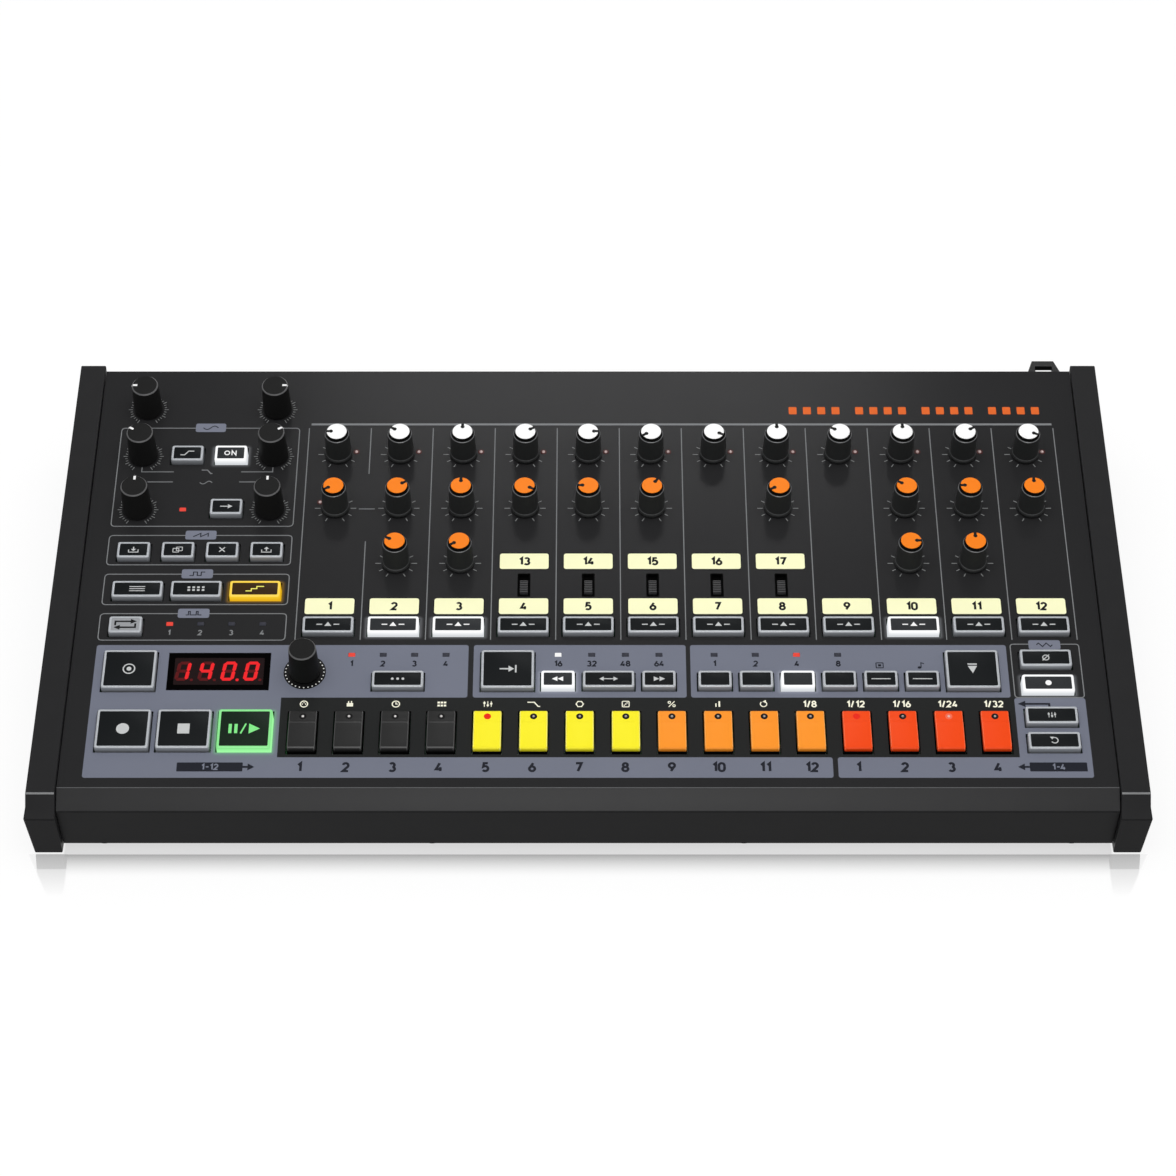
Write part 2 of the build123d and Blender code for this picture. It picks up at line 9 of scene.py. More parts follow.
import bmesh
import bpy
import mathutils
import numpy as np
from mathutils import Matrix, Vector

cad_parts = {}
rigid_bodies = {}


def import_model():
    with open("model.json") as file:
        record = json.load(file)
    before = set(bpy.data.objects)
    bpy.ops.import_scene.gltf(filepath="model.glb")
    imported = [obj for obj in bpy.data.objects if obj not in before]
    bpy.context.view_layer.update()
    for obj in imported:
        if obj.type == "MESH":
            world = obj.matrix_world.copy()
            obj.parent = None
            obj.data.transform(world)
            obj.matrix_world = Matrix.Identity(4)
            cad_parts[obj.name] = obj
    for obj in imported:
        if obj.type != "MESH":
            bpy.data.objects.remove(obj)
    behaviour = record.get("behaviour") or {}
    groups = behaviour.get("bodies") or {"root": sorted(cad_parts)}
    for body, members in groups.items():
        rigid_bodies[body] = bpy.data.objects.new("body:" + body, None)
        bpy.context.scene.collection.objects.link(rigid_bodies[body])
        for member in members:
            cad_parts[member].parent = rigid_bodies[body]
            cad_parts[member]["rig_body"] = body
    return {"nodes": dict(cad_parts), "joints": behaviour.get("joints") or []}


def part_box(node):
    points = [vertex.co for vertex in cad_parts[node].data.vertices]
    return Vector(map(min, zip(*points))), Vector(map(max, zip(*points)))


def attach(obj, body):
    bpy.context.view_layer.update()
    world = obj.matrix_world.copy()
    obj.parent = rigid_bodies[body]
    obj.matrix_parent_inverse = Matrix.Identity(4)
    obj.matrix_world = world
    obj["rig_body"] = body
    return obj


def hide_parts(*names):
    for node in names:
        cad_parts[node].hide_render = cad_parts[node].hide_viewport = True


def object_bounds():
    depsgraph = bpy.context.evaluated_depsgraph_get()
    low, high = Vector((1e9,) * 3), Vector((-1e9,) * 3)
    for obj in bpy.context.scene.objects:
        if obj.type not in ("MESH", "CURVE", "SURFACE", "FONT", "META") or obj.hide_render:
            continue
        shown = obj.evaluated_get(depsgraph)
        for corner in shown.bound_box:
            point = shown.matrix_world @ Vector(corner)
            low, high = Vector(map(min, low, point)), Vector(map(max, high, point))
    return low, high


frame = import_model()
cad_box = [list(corner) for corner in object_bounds()]

MM = 0.001
MERGE = 1e-7
CAD_MERGE = 1e-6
FLAT_ANGLE = math.radians(0.5)
EASED_ANGLE = 25.0
BROW_RADIUS = 0.5
BROW_FOLD = math.radians(25)
# Least parts forward and up of a face's normal, for the nose, for a brow and for the fold it is on
NOSE_AHEAD = 0.5
BROW_AHEAD, BROW_UP = 0.15, 0.8
FOLD_AHEAD = 0.1
STRAIGHT = 0.99


# ---------------------------------------------------------------- sides of the machine

class Side:
    """A flat side: its origin in metres and its axes across, along and out."""

    def __init__(self, origin, across, along):
        self.origin = np.array(origin, float)
        self.axes = np.array((across, along, np.cross(across, along)), float)

    def place(self, points):
        """Millimetres on this side as metres in the row's frame."""
        return self.origin + np.asarray(points, float) @ self.axes * MM

    def read(self, point):
        """Metres in the row's frame as millimetres on this side."""
        return self.axes @ (np.array(point, float) - self.origin) / MM


HINGES = {joint["child"]: joint for joint in frame["joints"] if joint["name"].endswith("_turn")}
LEVEL_ROW = 192.0
first_hinge = HINGES["level_knob_1_body"]
deck_out = np.array(first_hinge["axis"], float)
deck_along = np.cross(deck_out, (1, 0, 0))
deck_origin = np.array(first_hinge["pos_m"]) * (0, 1, 1) - deck_along * LEVEL_ROW * MM
DECK = Side(deck_origin, (1, 0, 0), deck_along)
BACK = Side((0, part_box("rear_panel")[1].y, 0), (-1, 0, 0), (0, 0, 1))

# ---------------------------------------------------------------- places on the deck, in millimetres

CHANNEL_PITCH = 29.78
FIRST_CHANNEL = -119.0
CHANNELS = 12
KEY_PITCH = 20.68
FIRST_KEY = -127.8
KEY_WIDTH = 12.8
KEY_FRONT = 18.5
KEY_LENGTH = 22.4
KEY_LEDGE = 6.4
SMALL_BUTTON = (15.3, 9.5)
WIDE_BUTTON = (23.5, 9.5)
LARGE_BUTTON = (24.2, 21.4)
SLIDE_CHANNELS = (4, 5, 6, 7, 8)
LIGHT_SIZE = (3.0, 2.0)
WINDOW_SPOT = (-167.4, 63.6)
WINDOW_SIZE = (46.2, 20.8)
ENCODER_SPOT = tuple(DECK.read(HINGES["data_encoder_body"]["pos_m"])[:2])

channel_xs = FIRST_CHANNEL + CHANNEL_PITCH * np.arange(CHANNELS)
key_xs = FIRST_KEY + KEY_PITCH * np.arange(16)


def row(first, pitch, count, up_slope):
    """Evenly spaced places across the deck at one height up the slope."""
    return [(first + pitch * place, up_slope) for place in range(count)]


select_spots = [(x, 88.4) for x in channel_xs]
effect_spots = [(-191.0, 190.8), (-170.3, 190.8), (-170.3, 158.0)]
edit_spots = row(-211.7, 20.65, 4, 132.0)
sync_spots = [(-211.7, 88.4)]
arrow_spots = [(-13.6, 57.6), (32.1, 57.6)]
repeat_spots = row(57.4, 18.75, 6, 57.6)
small_spots = effect_spots + edit_spots + sync_spots + arrow_spots + repeat_spots
mode_spots = row(-208.0, 27.15, 3, 109.0)
strip_spots = [(-86.0, 57.6), (9.3, 57.6)]
column_spots = [(207.8, 69.5), (207.8, 55.4), (207.8, 37.6), (207.8, 23.7)]
wide_spots = mode_spots + strip_spots + column_spots
transport_spots = row(-207.8, 27.2, 3, 30.1)
large_spots = [(-207.8, 63.2)] + transport_spots + [(-36.4, 63.2), (174.1, 63.2)]
signal_light = [(-191.0, 158.2)]
sync_lights = row(-191.8, 14.23, 4, 90.6)
data_lights = row(-107.5, 14.3, 4, 73.0)
length_lights = row(-13.6, 15.3, 4, 73.0)
repeat_lights = row(57.4, 18.75, 4, 73.0)
light_spots = signal_light + sync_lights + data_lights + length_lights + repeat_lights
dot_spots = [(x + 8.4, LEVEL_ROW + 1.6) for x in channel_xs] + [(channel_xs[0] - 7.4, 162.6)]

# Which caps are lit, by place in their group, and which lamp each has
WHITE, YELLOW, GREEN = 1, 2, 3
select_lamps = {1: WHITE, 2: WHITE, 9: WHITE}
small_lamps = {1: WHITE, 8: WHITE, 12: WHITE, 18: YELLOW, 22: WHITE}
large_lamps = {3: GREEN}
lit_caps = [(select_spots[place], WIDE_BUTTON, lamp) for place, lamp in select_lamps.items()]
lit_caps += [(large_spots[place], LARGE_BUTTON, lamp) for place, lamp in large_lamps.items()]
for place, lamp in small_lamps.items():
    size = SMALL_BUTTON if place < len(small_spots) else WIDE_BUTTON
    lit_caps.append(((small_spots + wide_spots)[place], size, lamp))


# ---------------------------------------------------------------- surfaces from numbers

def pairs(*numbers):
    """Points of a path from their numbers, two by two."""
    return np.array(numbers, float).reshape(-1, 2)


def full_turn(steps):
    """Angles in radians once around, in equal steps."""
    return 2 * np.pi * np.arange(steps) / steps


def unit_circle(turn):
    """Points of a circle of radius 1 at angles in radians, anticlockwise from across."""
    return np.stack((np.cos(turn), np.sin(turn)), axis=-1)


def at_level(outline, level):
    """The points of an outline, all at one height."""
    return np.column_stack((outline, np.full(len(outline), level)))


def quadratic(leave, control, join, steps):
    """For each row, points of the quadratic curve from leave to join that its control point pulls:
    their mean by the squares of what is left and what is gone, and twice their product."""
    share = np.linspace(0, 1, steps + 1)[None, :, None]
    start, middle, end = leave[:, None], control[:, None], join[:, None]
    return ((1 - share) ** 2 * start + 2 * share * (1 - share) * middle + share ** 2 * end).reshape(-1, 2)


def grid_faces(rows, columns, around=False, looped=False):
    """Four-sided faces between neighbouring points of a grid; around joins the last column to the
    first, and looped the last row to the first."""
    near = np.arange(rows if looped else rows - 1)[:, None]
    left = np.arange(columns if around else columns - 1)[None, :]
    far = (near + 1) % rows
    right = (left + 1) % columns
    corners = (near * columns + left, near * columns + right, far * columns + right, far * columns + left)
    return np.stack(np.broadcast_arrays(*corners), axis=-1).reshape(-1, 4)


def arc(centre, radii, start, end, steps=10):
    """Points of a circle, or of an ellipse with two radii, from start to end degrees."""
    return unit_circle(np.radians(np.linspace(start, end, steps + 1))) * radii + centre


def soft_outline(corners, radius, steps=5):
    """A closed outline with each corner replaced by a quadratic curve: it leaves one edge and joins
    the next at radius from the corner, and the corner itself is the curve's control point."""
    corners = np.asarray(corners, float)
    to_next = np.roll(corners, -1, axis=0) - corners
    to_last = np.roll(corners, 1, axis=0) - corners
    leave = corners + to_last / np.linalg.norm(to_last, axis=1, keepdims=True) * radius
    join = corners + to_next / np.linalg.norm(to_next, axis=1, keepdims=True) * radius
    return quadratic(leave, corners, join, steps)


def box_between(left, right, low, high, radius, steps=5):
    """The outline of a rectangle with soft corners between its four edges."""
    return soft_outline(((left, low), (right, low), (right, high), (left, high)), radius, steps)


def soft_box(width, length, radius, steps=5):
    """The outline of a rectangle with soft corners about the origin."""
    return box_between(-width / 2, width / 2, -length / 2, length / 2, radius, steps)


def stack(outlines, levels):
    """A closed form through outlines of equal count at rising levels, closed by its first and last."""
    count = len(outlines[0])
    rings = [at_level(outline, level) for outline, level in zip(outlines, levels)]
    rim = np.arange(count)[None]
    faces = [grid_faces(len(rings), count, around=True), rim[:, ::-1], rim + count * (len(rings) - 1)]
    return np.concatenate(rings), faces


def plate(outline, low, high):
    """A flat slab with the same outline at two levels."""
    return stack((outline, outline), (low, high))


def ribbon(path, width, low, high, closed=False):
    """A flat bar that follows a path. At each corner both its edges lie on the mitre, where the
    offsets of the two stretches meet, and the bar stands from low to high."""
    path = np.asarray(path, float)
    ahead = np.roll(path, -1, axis=0) - path
    ahead /= np.linalg.norm(ahead, axis=1, keepdims=True)
    behind = np.roll(ahead, 1, axis=0)
    if not closed:
        ahead[-1] = ahead[-2]
        behind[0] = ahead[0]
    left_ahead = np.stack((-ahead[:, 1], ahead[:, 0]), axis=-1)
    left_behind = np.stack((-behind[:, 1], behind[:, 0]), axis=-1)
    spread = 1 + (left_ahead * left_behind).sum(axis=1, keepdims=True)
    mitre = (left_ahead + left_behind) / spread * width / 2
    edges = [(path + mitre, low), (path - mitre, low), (path - mitre, high), (path + mitre, high)]
    section = np.stack([at_level(edge, level) for edge, level in edges], axis=1)
    faces = [grid_faces(len(path), 4, around=True, looped=closed)]
    if not closed:
        end = np.arange(4)[None]
        faces += [end[:, ::-1], end + 4 * (len(path) - 1)]
    return section.reshape(-1, 3), faces


def turned(profile, steps=48):
    """A form turned about its own axis: every (radius, height) of the profile becomes a circle."""
    profile = np.asarray(profile, float)
    turn = full_turn(steps)
    across = profile[:, :1] * np.cos(turn)
    along = profile[:, :1] * np.sin(turn)
    height = np.broadcast_to(profile[:, 1:], across.shape)
    points = np.stack((across, along, height), axis=-1).reshape(-1, 3)
    return points, [grid_faces(len(profile), steps, around=True)]


def rounded_profile(points, radius, steps=3):
    """An open profile whose inner corners are eased by quadratic curves, and whose ends stay. Each
    curve takes at most 0.45 of either stretch."""
    points = np.asarray(points, float)
    before, corner, after = points[:-2], points[1:-1], points[2:]
    reach_in = np.linalg.norm(before - corner, axis=1, keepdims=True)
    reach_out = np.linalg.norm(after - corner, axis=1, keepdims=True)
    leave = corner + (before - corner) / reach_in * np.minimum(radius, reach_in * 0.45)
    join = corner + (after - corner) / reach_out * np.minimum(radius, reach_out * 0.45)
    return np.concatenate((points[:1], quadratic(leave, corner, join, steps), points[-1:]))


def moved(points, spot, angle=0.0):
    """Points turned clockwise by an angle in degrees about their own axis and moved to a spot."""
    turn = math.radians(-angle)
    turning = ((math.cos(turn), math.sin(turn), 0), (-math.sin(turn), math.cos(turn), 0), (0, 0, 1))
    return np.asarray(points, float) @ np.array(turning) + (*spot, 0)[:3]


class Shape:
    """Points and faces gathered for one piece; each face keeps the number of its finish."""

    def __init__(self, side=DECK):
        self.side = side
        self.points = []
        self.faces = []
        self.marks = []
        self.count = 0

    def add(self, drawn, spot=(0, 0), angle=0.0, mark=0):
        """Adds drawn points and faces at a spot on this shape's side. mark is one finish number, or
        one for each group of faces."""
        points, groups = drawn
        self.points.append(self.side.place(moved(points, spot, angle)))
        for group, own in zip(groups, np.broadcast_to(mark, len(groups)).tolist()):
            self.faces += (group + self.count).tolist()
            self.marks += [own] * len(group)
        self.count += len(points)

    def repeat(self, drawn, spots, mark=0):
        """Adds the same drawn form at each of the spots."""
        for spot in spots:
            self.add(drawn, spot, mark=mark)


def made(name, shape, body, finishes, hides=(), sharp=40.0):
    """Turns a shape into a piece of the scene: merged, facing outwards, riding on its body."""
    mesh = bpy.data.meshes.new(name)
    mesh.from_pydata(np.concatenate(shape.points).tolist(), [], shape.faces)
    mesh.polygons.foreach_set("material_index", np.array(shape.marks, np.int32))
    work = bmesh.new()
    work.from_mesh(mesh)
    bmesh.ops.remove_doubles(work, verts=work.verts, dist=MERGE)
    bmesh.ops.recalc_face_normals(work, faces=work.faces)
    work.to_mesh(mesh)
    work.free()
    return finish_piece(name, mesh, body, finishes, hides, sharp)


def finish_piece(name, mesh, body, finishes, hides, sharp):
    """Puts a mesh in the scene with its finishes, given by name, and hides the CAD nodes it replaces.
    Edges that turn by more than sharp degrees stay crisp."""
    mesh.polygons.foreach_set("use_smooth", np.ones(len(mesh.polygons), bool))
    mesh.set_sharp_from_angle(angle=math.radians(sharp))
    for word in finishes.split():
        mesh.materials.append(FINISHES[word])
    piece = bpy.data.objects.new(name, mesh)
    bpy.context.scene.collection.objects.link(piece)
    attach(piece, body)
    if hides:
        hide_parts(*hides)
    return piece


def mark_brows(work, weights, least):
    """Picks out the front upper folds of a bmesh: narrow strips that face between the top and the
    nose get finish 1, a painted highlight, the nose gets finish 2, which on the deck is its paint
    painted darker as shade, and a sharp fold longer than least gets weight 1."""
    for face in work.faces:
        ahead, up = -face.normal.y, face.normal.z
        face.material_index = 2 if ahead > NOSE_AHEAD else int(ahead > BROW_AHEAD and up > BROW_UP)
    for edge in work.edges:
        start, end = (corner.co for corner in edge.verts)
        across = abs(end.x - start.x)
        if len(edge.link_faces) == 2 and across > least and across > STRAIGHT * edge.calc_length():
            mean = sum((face.normal for face in edge.link_faces), mathutils.Vector()).normalized()
            sharp = edge.calc_face_angle() > BROW_FOLD
            edge[weights] = float(sharp and -mean.y > FOLD_AHEAD and mean.z > BROW_UP)


def add_bevel(piece, name, radius, segments, method):
    """A bevel of a radius in millimetres on the edges that the method picks."""
    bevel = piece.modifiers.new(name, "BEVEL")
    bevel.width = radius * MM
    bevel.segments = segments
    bevel.limit_method = method
    bevel.harden_normals = True
    return bevel


def eased_copy(name, node, finishes, radius, segments=3, brow=None):
    """A merged copy of a CAD node with every sharp edge rounded by a bevel of the given radius. With
    brow, the least length in metres, its front upper edges get a wider bevel in the second finish,
    a painted highlight."""
    mesh = frame["nodes"][node].data.copy()
    mesh.materials.clear()
    work = bmesh.new()
    work.from_mesh(mesh)
    bmesh.ops.remove_doubles(work, verts=work.verts, dist=CAD_MERGE)
    bmesh.ops.dissolve_limit(
        work, angle_limit=FLAT_ANGLE, use_dissolve_boundaries=False, verts=work.verts, edges=work.edges,
    )
    if brow:
        mark_brows(work, work.edges.layers.float.new("bevel_weight_edge"), brow)
    work.to_mesh(mesh)
    work.free()
    piece = finish_piece(name, mesh, frame["nodes"][node]["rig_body"], finishes, (node,), EASED_ANGLE)
    if brow:
        add_bevel(piece, "brow", BROW_RADIUS, 2, "WEIGHT").material = 1
    add_bevel(piece, "eased", radius, segments, "ANGLE").angle_limit = math.radians(EASED_ANGLE)
    return piece


# ---------------------------------------------------------------- shader arithmetic

def plug(tree, socket, value):
    """Gives a socket a link, where the value comes from a node, or a constant."""
    if isinstance(value, Wire):
        tree.links.new(value.socket, socket)
    else:
        socket.default_value = value


def math_node(tree, operation, values, clamp=False):
    """One Math node over the given values."""
    node = tree.nodes.new("ShaderNodeMath")
    node.operation = operation
    node.use_clamp = clamp
    for socket, value in zip(node.inputs, values):
        plug(tree, socket, value)
    return Wire(node.outputs[0])


class Wire:
    """A socket that can stand in a sum: each operator adds one Math node to its tree."""

    def __init__(self, socket):
        self.socket = socket
        self.tree = socket.id_data

    def of(self, operation, *others):
        """The result of one Math node with this value first."""
        return math_node(self.tree, operation, (self, *others))

    def __rsub__(self, other):
        return math_node(self.tree, "SUBTRACT", (other, self))

    def within(self):
        """The value held between 0 and 1."""
        return math_node(self.tree, "ADD", (self, 0.0), clamp=True)


OPERATIONS = {
    "__add__": "ADD",
    "__radd__": "ADD",
    "__sub__": "SUBTRACT",
    "__mul__": "MULTIPLY",
    "__truediv__": "DIVIDE",
    "__pow__": "POWER",
    "__abs__": "ABSOLUTE",
    "least": "MINIMUM",
    "most": "MAXIMUM",
}
for method, operation in OPERATIONS.items():
    setattr(Wire, method, lambda wire, *others, kind=operation: wire.of(kind, *others))


def strongest(wires):
    """The greatest of several values at each point."""
    total, *others = wires
    for other in others:
        total = total.most(other)
    return total


def length(across, along):
    """The length of a step across and along."""
    return (across * across + along * along).of("SQRT")


def inside(across, along, left, right, low, high, radius=1.2, edge=0.06):
    """1 inside a rectangle with round corners and 0 outside, from its signed distance: the length of
    what lies beyond the straight core, less the corner radius."""
    middle_x, middle_y = (left + right) / 2, (low + high) / 2
    beyond_x = (abs(across - middle_x) - ((right - left) / 2 - radius)).most(0.0)
    beyond_y = (abs(along - middle_y) - ((high - low) / 2 - radius)).most(0.0)
    return (0.5 - (length(beyond_x, beyond_y) - radius) / (2 * edge)).within()


def ink(red, green, blue):
    """A colour named by its 8-bit display values, as the linear values that a shader takes."""
    display = np.array((red, green, blue)) / 255
    linear = np.where(display <= 0.04045, display / 12.92, ((display + 0.055) / 1.055) ** 2.4)
    return (*linear.tolist(), 1.0)


class Finish:
    """A material: constants go straight to the shader's sockets, patterns are linked to a few."""

    def __init__(self, name, **constants):
        self.material = bpy.data.materials.new(name)
        self.material.use_nodes = True
        self.tree = self.material.node_tree
        self.shader = self.tree.nodes["Principled BSDF"]
        for word, value in constants.items():
            self.set(word.replace("_", " ").title().replace("Ior", "IOR"), value)

    def set(self, socket, value):
        """Gives one of the shader's inputs a value."""
        plug(self.tree, self.shader.inputs[socket], value)

    def node(self, kind, **inputs):
        """A new node with values for the inputs that are named."""
        node = self.tree.nodes.new(kind)
        for word, value in inputs.items():
            plug(self.tree, node.inputs[word.title()], value)
        return node

    def place(self):
        """The point's own place in metres, as one socket."""
        return Wire(self.node("ShaderNodeTexCoord").outputs["Object"])

    def spot(self):
        """The point's own (x, y, z) in metres."""
        return [Wire(part) for part in self.node("ShaderNodeSeparateXYZ", vector=self.place()).outputs]

    def on(self, side):
        """The point in millimetres across, along and out of a side."""
        spot = self.spot()
        found = []
        for axis in side.axes:
            total = -float(axis @ side.origin) / MM
            for wire, share in zip(spot, axis):
                if abs(share) > 1e-9:
                    total = wire * (float(share) / MM) + total
            found.append(total)
        return found

    def risen(self, height):
        """0 just over the deck, and 1 at height millimetres above that."""
        return ((self.on(DECK)[2] - 0.2) / height).within()

    def noise(self, size, detail=2.0):
        """Noise from 0 to 1 with features of about size millimetres."""
        node = self.node("ShaderNodeTexNoise", vector=self.place(), scale=1 / (size * MM), detail=detail)
        return Wire(node.outputs[0])

    def mix(self, share, first, second):
        """A colour between two, as far towards the second as share says."""
        node = self.tree.nodes.new("ShaderNodeMix")
        node.data_type = "RGBA"
        for place, value in ((0, share), (6, first), (7, second)):
            plug(self.tree, node.inputs[place], value)
        return Wire(node.outputs[2])

    def relief(self, height, depth, strength):
        """Bumps of the given depth in millimetres on the shader's normal. Returns the material."""
        bump = self.node("ShaderNodeBump", strength=strength, distance=depth * MM, height=height)
        self.set("Normal", Wire(bump.outputs[0]))
        return self.material

    def cover(self, colour, grain, roughness, spread, depth, strength):
        """Sets the colour, a roughness that rises by spread with the grain, and the grain's relief."""
        self.set("Base Color", colour)
        self.set("Roughness", roughness + grain * spread)
        return self.relief(grain, depth, strength)


# ---------------------------------------------------------------- finishes

# Rectangles of grey print: left, right, low and high edge on the deck
GREY_FIELDS = (
    (-224.0, -138.3, 5.3, 78.5),
    (-150.0, -54.4, 49.0, 78.5),
    (-52.0, 44.5, 49.0, 78.5),
    (46.5, 190.5, 49.0, 78.5),
    (-150.0, 108.7, 5.3, 16.3),
    (111.0, 224.0, 5.3, 16.3),
    (192.0, 224.0, 5.3, 48.7),
)
KEY_BED = (-138.3, 192.5, 16.5, 48.8)
# Light spilt from the lit caps is painted on the deck as a glow: its reach in millimetres and its colours
SPILL_REACH = 2.6
SPILL_COLOURS = {WHITE: (116, 118, 122), YELLOW: (150, 110, 10), GREEN: (60, 150, 70)}
PAINT_SHEEN = 0.05
DECK_SHEEN = 0.025
PRINT_DEPTH = 0.05
CLOUD_SIZE = 12.0


def spill(across, along, lamp):
    """Light spilt from the caps with one lamp, painted on the deck around them as a glow: the square of
    one less the distance from the nearest cap's outline over the reach."""
    near = []
    for (x, y), (width, depth), own in lit_caps:
        if own == lamp:
            beyond_x = (abs(across - x) - width / 2).most(0.0)
            beyond_y = (abs(along - y) - depth / 2).most(0.0)
            near.append((1.0 - length(beyond_x, beyond_y) / SPILL_REACH).most(0.0))
    nearest = strongest(near)
    return nearest * nearest


def deck_paint():
    """Dark powder coat with the grey fields and the key bed printed on it, and spilt light painted on it as a
    glow.
    """
    finish = Finish("deck_paint", specular_ior_level=DECK_SHEEN, emission_strength=1.0)
    across, along, out = finish.on(DECK)
    cloud = finish.noise(40.0)
    grain = finish.noise(0.35, 3.0)
    top_only = (1.0 - (abs(out) - PRINT_DEPTH) * 20).within()
    fields = strongest([inside(across, along, *field) for field in GREY_FIELDS]) * top_only
    bed = inside(across, along, *KEY_BED) * top_only
    bare = finish.mix(cloud, ink(39, 39, 40), ink(43, 43, 44))
    coated = finish.mix(bed, bare, ink(38, 39, 39))
    grey = finish.mix(cloud, ink(113, 117, 131), ink(118, 122, 136))
    glow = ink(0, 0, 0)
    for lamp, colour in SPILL_COLOURS.items():
        glow = finish.mix(spill(across, along, lamp) * top_only, glow, ink(*colour))
    finish.set("Emission Color", glow)
    finish.set("Base Color", finish.mix(fields, coated, grey))
    finish.set("Roughness", 0.17 + grain * 0.06 + fields * 0.2)
    return finish.relief(grain, 0.02, 0.3)


def moulded(name, colour, shade, roughness, level, size, depth):
    """Moulded plastic: a fine spark-eroded grain, a second shade in soft clouds."""
    finish = Finish(name, specular_ior_level=level)
    clouds = finish.mix(finish.noise(CLOUD_SIZE), colour, shade)
    return finish.cover(clouds, finish.noise(size, 3.0), roughness - 0.06, 0.12, depth, 0.35)


def metal(name, colour, shade, roughness):
    """Plated or bare metal with a fine grain."""
    finish = Finish(name, metallic=1.0)
    grain = finish.noise(0.3, 3.0)
    return finish.cover(finish.mix(grain, colour, shade), grain, roughness - 0.05, 0.12, 0.01, 0.3)


def printed(name, colour, shade, roughness):
    """Silk-screen ink: slightly uneven cover over the powder coat's grain."""
    finish = Finish(name, specular_ior_level=0.08)
    grain = finish.noise(0.4, 3.0)
    return finish.cover(finish.mix(grain, colour, shade), grain, roughness - 0.05, 0.1, 0.01, 0.3)


def cap_plastic():
    """Translucent light grey, with painted light and shade: pale at the top rim as a highlight, darker
    towards the deck as shade.
    """
    finish = Finish("cap_plastic", specular_ior_level=0.4, coat_weight=0.15, coat_roughness=0.2)
    # The colour rises with height: a painted highlight at the rim over painted shade near the deck
    colour = finish.mix(finish.risen(2.4), ink(126, 129, 134), ink(172, 176, 181))
    return finish.cover(colour, finish.noise(0.6), 0.34, 0.1, 0.01, 0.2)


def lit_plastic(name, low, high):
    """The same cap with its lamp on: it glows, with one colour at the deck and another at its rim."""
    finish = Finish(name, specular_ior_level=0.3, roughness=0.35, emission_strength=1.0)
    finish.set("Base Color", finish.mix(finish.noise(1.5), ink(40, 40, 40), ink(48, 48, 48)))
    finish.set("Emission Color", finish.mix(finish.risen(2.6), low, high))
    return finish.material


def legend_film(name, centre, edge, strength):
    """The dark legend plate in a cap: satin film, and on a lit cap a faint glow in soft clouds."""
    finish = Finish(name, specular_ior_level=0.05)
    grain = finish.noise(0.5, 3.0)
    if strength:
        finish.set("Emission Color", finish.mix(finish.noise(9.0), centre, edge))
        finish.set("Emission Strength", strength)
    return finish.cover(finish.mix(grain, centre, edge), grain, 0.36, 0.1, 0.005, 0.2)


def glowing(name, colour, shade, strength):
    """A small light or a lit sign: a nearly black body that gives off its colour, finely specked."""
    finish = Finish(name, roughness=0.4, specular_ior_level=0.02, emission_strength=strength)
    speck = finish.noise(0.8)
    finish.set("Base Color", finish.mix(speck, ink(8, 8, 8), ink(12, 12, 12)))
    finish.set("Emission Color", finish.mix(speck, colour, shade))
    return finish.material


